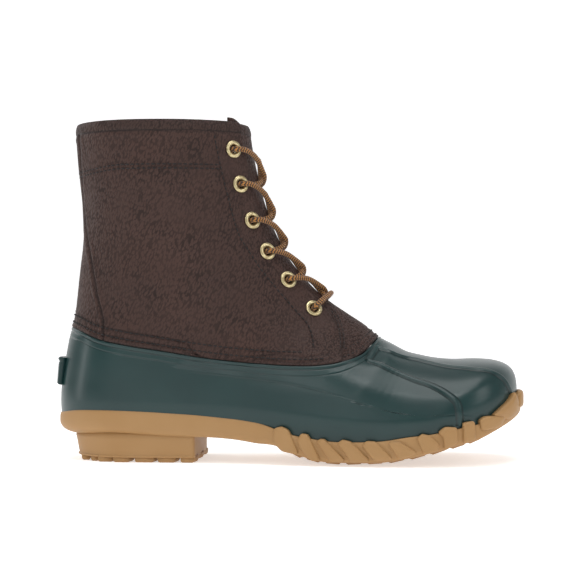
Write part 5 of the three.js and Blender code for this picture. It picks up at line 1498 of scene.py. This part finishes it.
EYESTAY_LINE = [(0.3515, 0.958), (0.3578, 0.911), (0.366, 0.8561), (0.3742, 0.8068), (0.3804, 0.7749), (0.3909, 0.7168),
                (0.4034, 0.6644), (0.4263, 0.6122), (0.4473, 0.5685), (0.481, 0.51), (0.5237, 0.4427), (0.5498, 0.4018),
                (0.5616, 0.3527), (0.5626, 0.3385)]
FRONT_LINE = [(0.5966, 0.4455), (0.6079, 0.4199), (0.6145, 0.3944), (0.6185, 0.3666), (0.6195, 0.3335)]
COLLAR_ROWS = [0.0, 0.0026]
COLLAR_ROW_HEIGHT = 0.1925
JOINT_ROWS = [0.0038, 0.0088]


def leather_stitching(materials, tree):
    points, turns = [], []

    def sew(t, a, lift=0.0):
        p, n = stitch_row(t, a, lift)
        points.extend(p)
        turns.extend(n)

    for line in (EYESTAY_LINE,):
        t, a, _ = chart_path(line, 260)
        sew(t, a)
        sew(t, other_side(a))
    u = np.linspace(0.02, 0.98, 500)
    for drop in COLLAR_ROWS:
        _, around = quarter_chart(0, COLLAR_ROW_HEIGHT, np.array([1.0]), u)
        around = around[0]
        line_turn = np.interp(COLLAR_ROW_HEIGHT, pz(np.array(EYESTAY_LINE)[::-1, 1]), px(np.array(EYESTAY_LINE)[::-1, 0]))
        p = surface(at_height(around, COLLAR_ROW_HEIGHT), around)
        keep = p[:, 0] < line_turn
        sag = 0.003 * ease(px(0.16), px(0.04), p[:, 0])
        sew(at_height(around, COLLAR_ROW_HEIGHT - drop - sag)[keep], around[keep])
    for rise in JOINT_ROWS:
        _, around = quarter_chart(0, COLLAR_HEIGHT, np.array([0.0]), np.linspace(0.012, 0.988, 700))
        around = around[0]
        sew(at_joint(around, -rise * 0.93), around, 0.0001)
    vamp = np.linspace(-0.93, 0.93, 160) * QUARTER_TURN
    for rise in JOINT_ROWS:
        around = np.mod(vamp, 2 * np.pi)
        sew(at_joint(around, -rise), around, -TONGUE_SINK - 0.0005)
    return set_copies("leather_stitching", tree, points, turns, stitch_capsule(), materials["thread"], "leather")


def edge_stitching(materials, tree):
    """The double row by the quarters' front edges over the vamp."""
    points, turns = [], []
    for across in (0.0, 0.0024):
        t, a, _ = chart_path(FRONT_LINE, 200)
        t, a = offset_on_chart(t, a, across)
        for turn in (a, other_side(a)):
            p, n = stitch_row(t, turn, 0.0)
            points.extend(p)
            turns.extend(n)
    return set_copies("edge_stitching", tree, points, turns, stitch_capsule(), materials["dark thread"], "leather")


# The lace.
LACE_SIDES = 16
LACE_OUT, LACE_IN = 0.0021, -0.0046


def smooth_path(points, steps):
    """A smooth curve through points, at even steps."""
    points = np.asarray(points, float)
    keys = np.concatenate([[0], np.cumsum(np.sqrt(np.linalg.norm(np.diff(points, axis=0), axis=1)))])
    curves = [column(keys, points[:, i]) for i in range(3)]
    fine = np.linspace(0, keys[-1], steps * 6)
    dense = np.column_stack([c(fine) for c in curves])
    far = path_length(dense)
    at = np.linspace(0, far[-1], steps)
    return np.column_stack([np.interp(at, far, dense[:, i]) for i in range(3)])


def tube(path, radius, sides):
    """Rings of a round tube that doesn't twist, with its map: turns across, metres along."""
    way = np.gradient(path, axis=0)
    way /= np.linalg.norm(way, axis=1, keepdims=True)
    side = np.cross(way[0], (0.2, 0.3, 1.0))
    sides_out = []
    for w in way:
        side = side - w * side.dot(w)
        side = side / np.linalg.norm(side)
        sides_out.append(side)
    side = np.array(sides_out)
    up = np.cross(way, side)
    angle = np.linspace(0, 2 * np.pi, sides + 1)
    ring = side[:, None] * np.cos(angle)[:, None] + up[:, None] * np.sin(angle)[:, None]
    far = path_length(path)
    uv = np.stack(np.broadcast_arrays((angle / (2 * np.pi))[None, :], far[:, None]), -1)
    return path[:, None] + ring * radius, uv


# A crossing's way over the throat: share of the way down to the next eyelet, share of the turn to the
# quarter's edge, and lift in mm where it passes over or under the other crossing.
CROSSING = [(0.03, 1.12, 2.9, 2.9), (0.2, 0.7, 1.7, 1.4), (0.4, 0.42, 1.0, -0.2), (0.58, 0.2, 0.7, -1.4),
            (0.76, 0.0, 0.6, -1.9), (0.93, -0.3, -1.5, -2.2), (1.0, -0.92, -4.5, -4.6)]
BAR = [(1.12, 2.7), (0.8, 2.1), (0.45, 1.7), (0.0, 1.5)]


def lace_runs(places):
    """The lace from the top eyelets down: each run crosses over an edge to the other side's next eyelet."""
    runs = []
    front_t, front_a = edge_between(0, COLLAR_HEIGHT)(np.linspace(0, 1, 300))
    order = np.argsort(front_t)
    over = lambda t, share, lift: surface(t, np.mod(np.interp(t, front_t[order], front_a[order]) * share, 2 * np.pi), lift)
    through = lambda p, n: [p + n * LACE_IN, p - n * MM, p + n * LACE_OUT]
    for side, other, way, column_of_lift in (("outer", "inner", 1, 2), ("inner", "outer", -1, 3)):
        point, normal, t, _ = places[side]
        far_point, far_normal = places[other][:2]
        for k in range(5):
            path = through(point[k], normal[k])
            for row in CROSSING:
                path.append(over(t[k] + (t[k + 1] - t[k]) * row[0], row[1] * way, row[column_of_lift] * MM))
            runs.append(path + [far_point[k + 1] + far_normal[k + 1] * LACE_IN])
    outer, inner = places["outer"], places["inner"]
    half, back = ([over(outer[2][5] + 0.02, share * way, lift * MM) for share, lift in BAR] for way in (1, -1))
    ends = [through(outer[0][5], outer[1][5]), through(inner[0][5], inner[1][5])]
    runs.append([*ends[0], *half, *back[-2::-1], *ends[1][::-1]])
    return runs


def lace(materials):
    grids, uvs, faces, offset = [], [], [], 0
    for run in lace_runs(eyelet_places()):
        path = smooth_path(run, 110)
        grid, uv = tube(path, LACE_RADIUS, LACE_SIDES)
        grids.append(grid)
        uvs.append(uv)
        faces.append(grid_faces(*grid.shape[:2], offset))
        offset += grid.shape[0] * grid.shape[1]
    made = joined_grids("round_lace", grids, uvs, faces)
    bm = bmesh.new()
    bm.from_mesh(made.data)
    bmesh.ops.remove_doubles(bm, verts=bm.verts, dist=1e-6)
    bmesh.ops.holes_fill(bm, edges=[e for e in bm.edges if e.is_boundary])
    bmesh.ops.recalc_face_normals(bm, faces=bm.faces)
    bm.to_mesh(made.data)
    bm.free()
    names = ["lace_bar"] + [f"lace_cross_{k}" for k in range(1, 6)]
    return finish_piece(made, materials["lace"], "lace", *names)


def footbed(materials):
    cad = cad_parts["insole"]
    target = cad if hasattr(cad, "data") else bpy.data.objects["insole"]
    target.data.materials.clear()
    target.data.materials.append(materials["footbed"])


# Floor, backdrop and light.
def studio():
    made, tree, shader = new_material("pale backdrop")
    place = node(tree, "ShaderNodeTexCoord").outputs["Object"]
    soft = noise(tree, place, 3.0)
    tree.links.new(blend_colours(tree, soft, (0.9, 0.9, 0.9, 1), (0.92, 0.92, 0.92, 1)), shader.inputs["Base Color"])
    shader.inputs["Roughness"].default_value = 0.85
    shader.inputs["Emission Color"].default_value = (1, 1, 1, 1)
    shader.inputs["Emission Strength"].default_value = BACKDROP_GLOW
    depth, rise, radius, wide = 3.0, 3.0, 0.8, 6.0
    arc = np.linspace(0, np.pi / 2, 24)
    profile = [(-3.0, 0.0), (depth - radius, 0.0)]
    profile += [(depth - radius + radius * np.sin(a), radius - radius * np.cos(a)) for a in arc[1:]]
    profile.append((depth, rise))
    profile = np.array(profile)
    grid = np.stack([np.stack([np.full(len(profile), x), profile[:, 0], profile[:, 1]], -1) for x in (-wide, wide)])
    floor = new_object("floor", grid.reshape(-1, 3), grid_faces(2, len(profile)))
    floor.data.materials.append(made)
    world = bpy.data.worlds.new("studio")
    world.use_nodes = True
    world.node_tree.nodes["Background"].inputs["Color"].default_value = (1, 1, 1, 1)
    world.node_tree.nodes["Background"].inputs["Strength"].default_value = WORLD_LIGHT
    bpy.context.scene.world = world
    for name, place, aim, size, power in LIGHTS:
        data = bpy.data.lights.new(name, "AREA")
        data.shape, data.size, data.size_y, data.energy = "RECTANGLE", size[0], size[1], power
        lamp = bpy.data.objects.new(name, data)
        lamp.location = place
        lamp.rotation_euler = (Vector(aim) - Vector(place)).to_track_quat("-Z", "Y").to_euler()
        bpy.context.collection.objects.link(lamp)
    bpy.context.scene.view_settings.view_transform = "Standard"


WORLD_LIGHT, BACKDROP_GLOW = 0.3, 0.5
# Name, place, aim, size and power of each lamp.
LIGHTS = [
    ("top softbox", (0.1, -0.1, 1.5), (0.1, 0, 0.1), (1.2, 1.0), 10),
    ("front softbox", (-0.35, -1.5, 0.9), (0.1, 0, 0.1), (0.7, 1.2), 5.5),
    ("toe softbox", (1.4, -0.7, 0.8), (0.15, 0, 0.1), (0.6, 1.0), 4.5),
    ("rim softbox", (-1.2, 0.6, 0.9), (0.05, 0, 0.1), (0.5, 1.0), 4),
    ("heel strip", (-1.5, -0.45, 0.4), (0, 0, 0.08), (0.16, 1.2), 4),
    ("toe highlight", (0.3, -0.8, 1.5), (0.2, 0, 0.05), (0.3, 0.3), 2.5),
]


def main():
    add_camera()
    materials = make_materials()
    setter = setter_tree("set copies")
    rubber_shell(materials)
    toe_ridges(materials)
    kick_tab(materials)
    leather_quarters(materials)
    tongue(materials)
    collar_binding(materials)
    sole_body(materials)
    rope_edge(materials)
    heel_block(materials)
    tread_lugs(materials)
    eyelets(materials, setter)
    leather_stitching(materials, setter)
    edge_stitching(materials, setter)
    lace(materials)
    footbed(materials)
    studio()
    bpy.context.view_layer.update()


main()
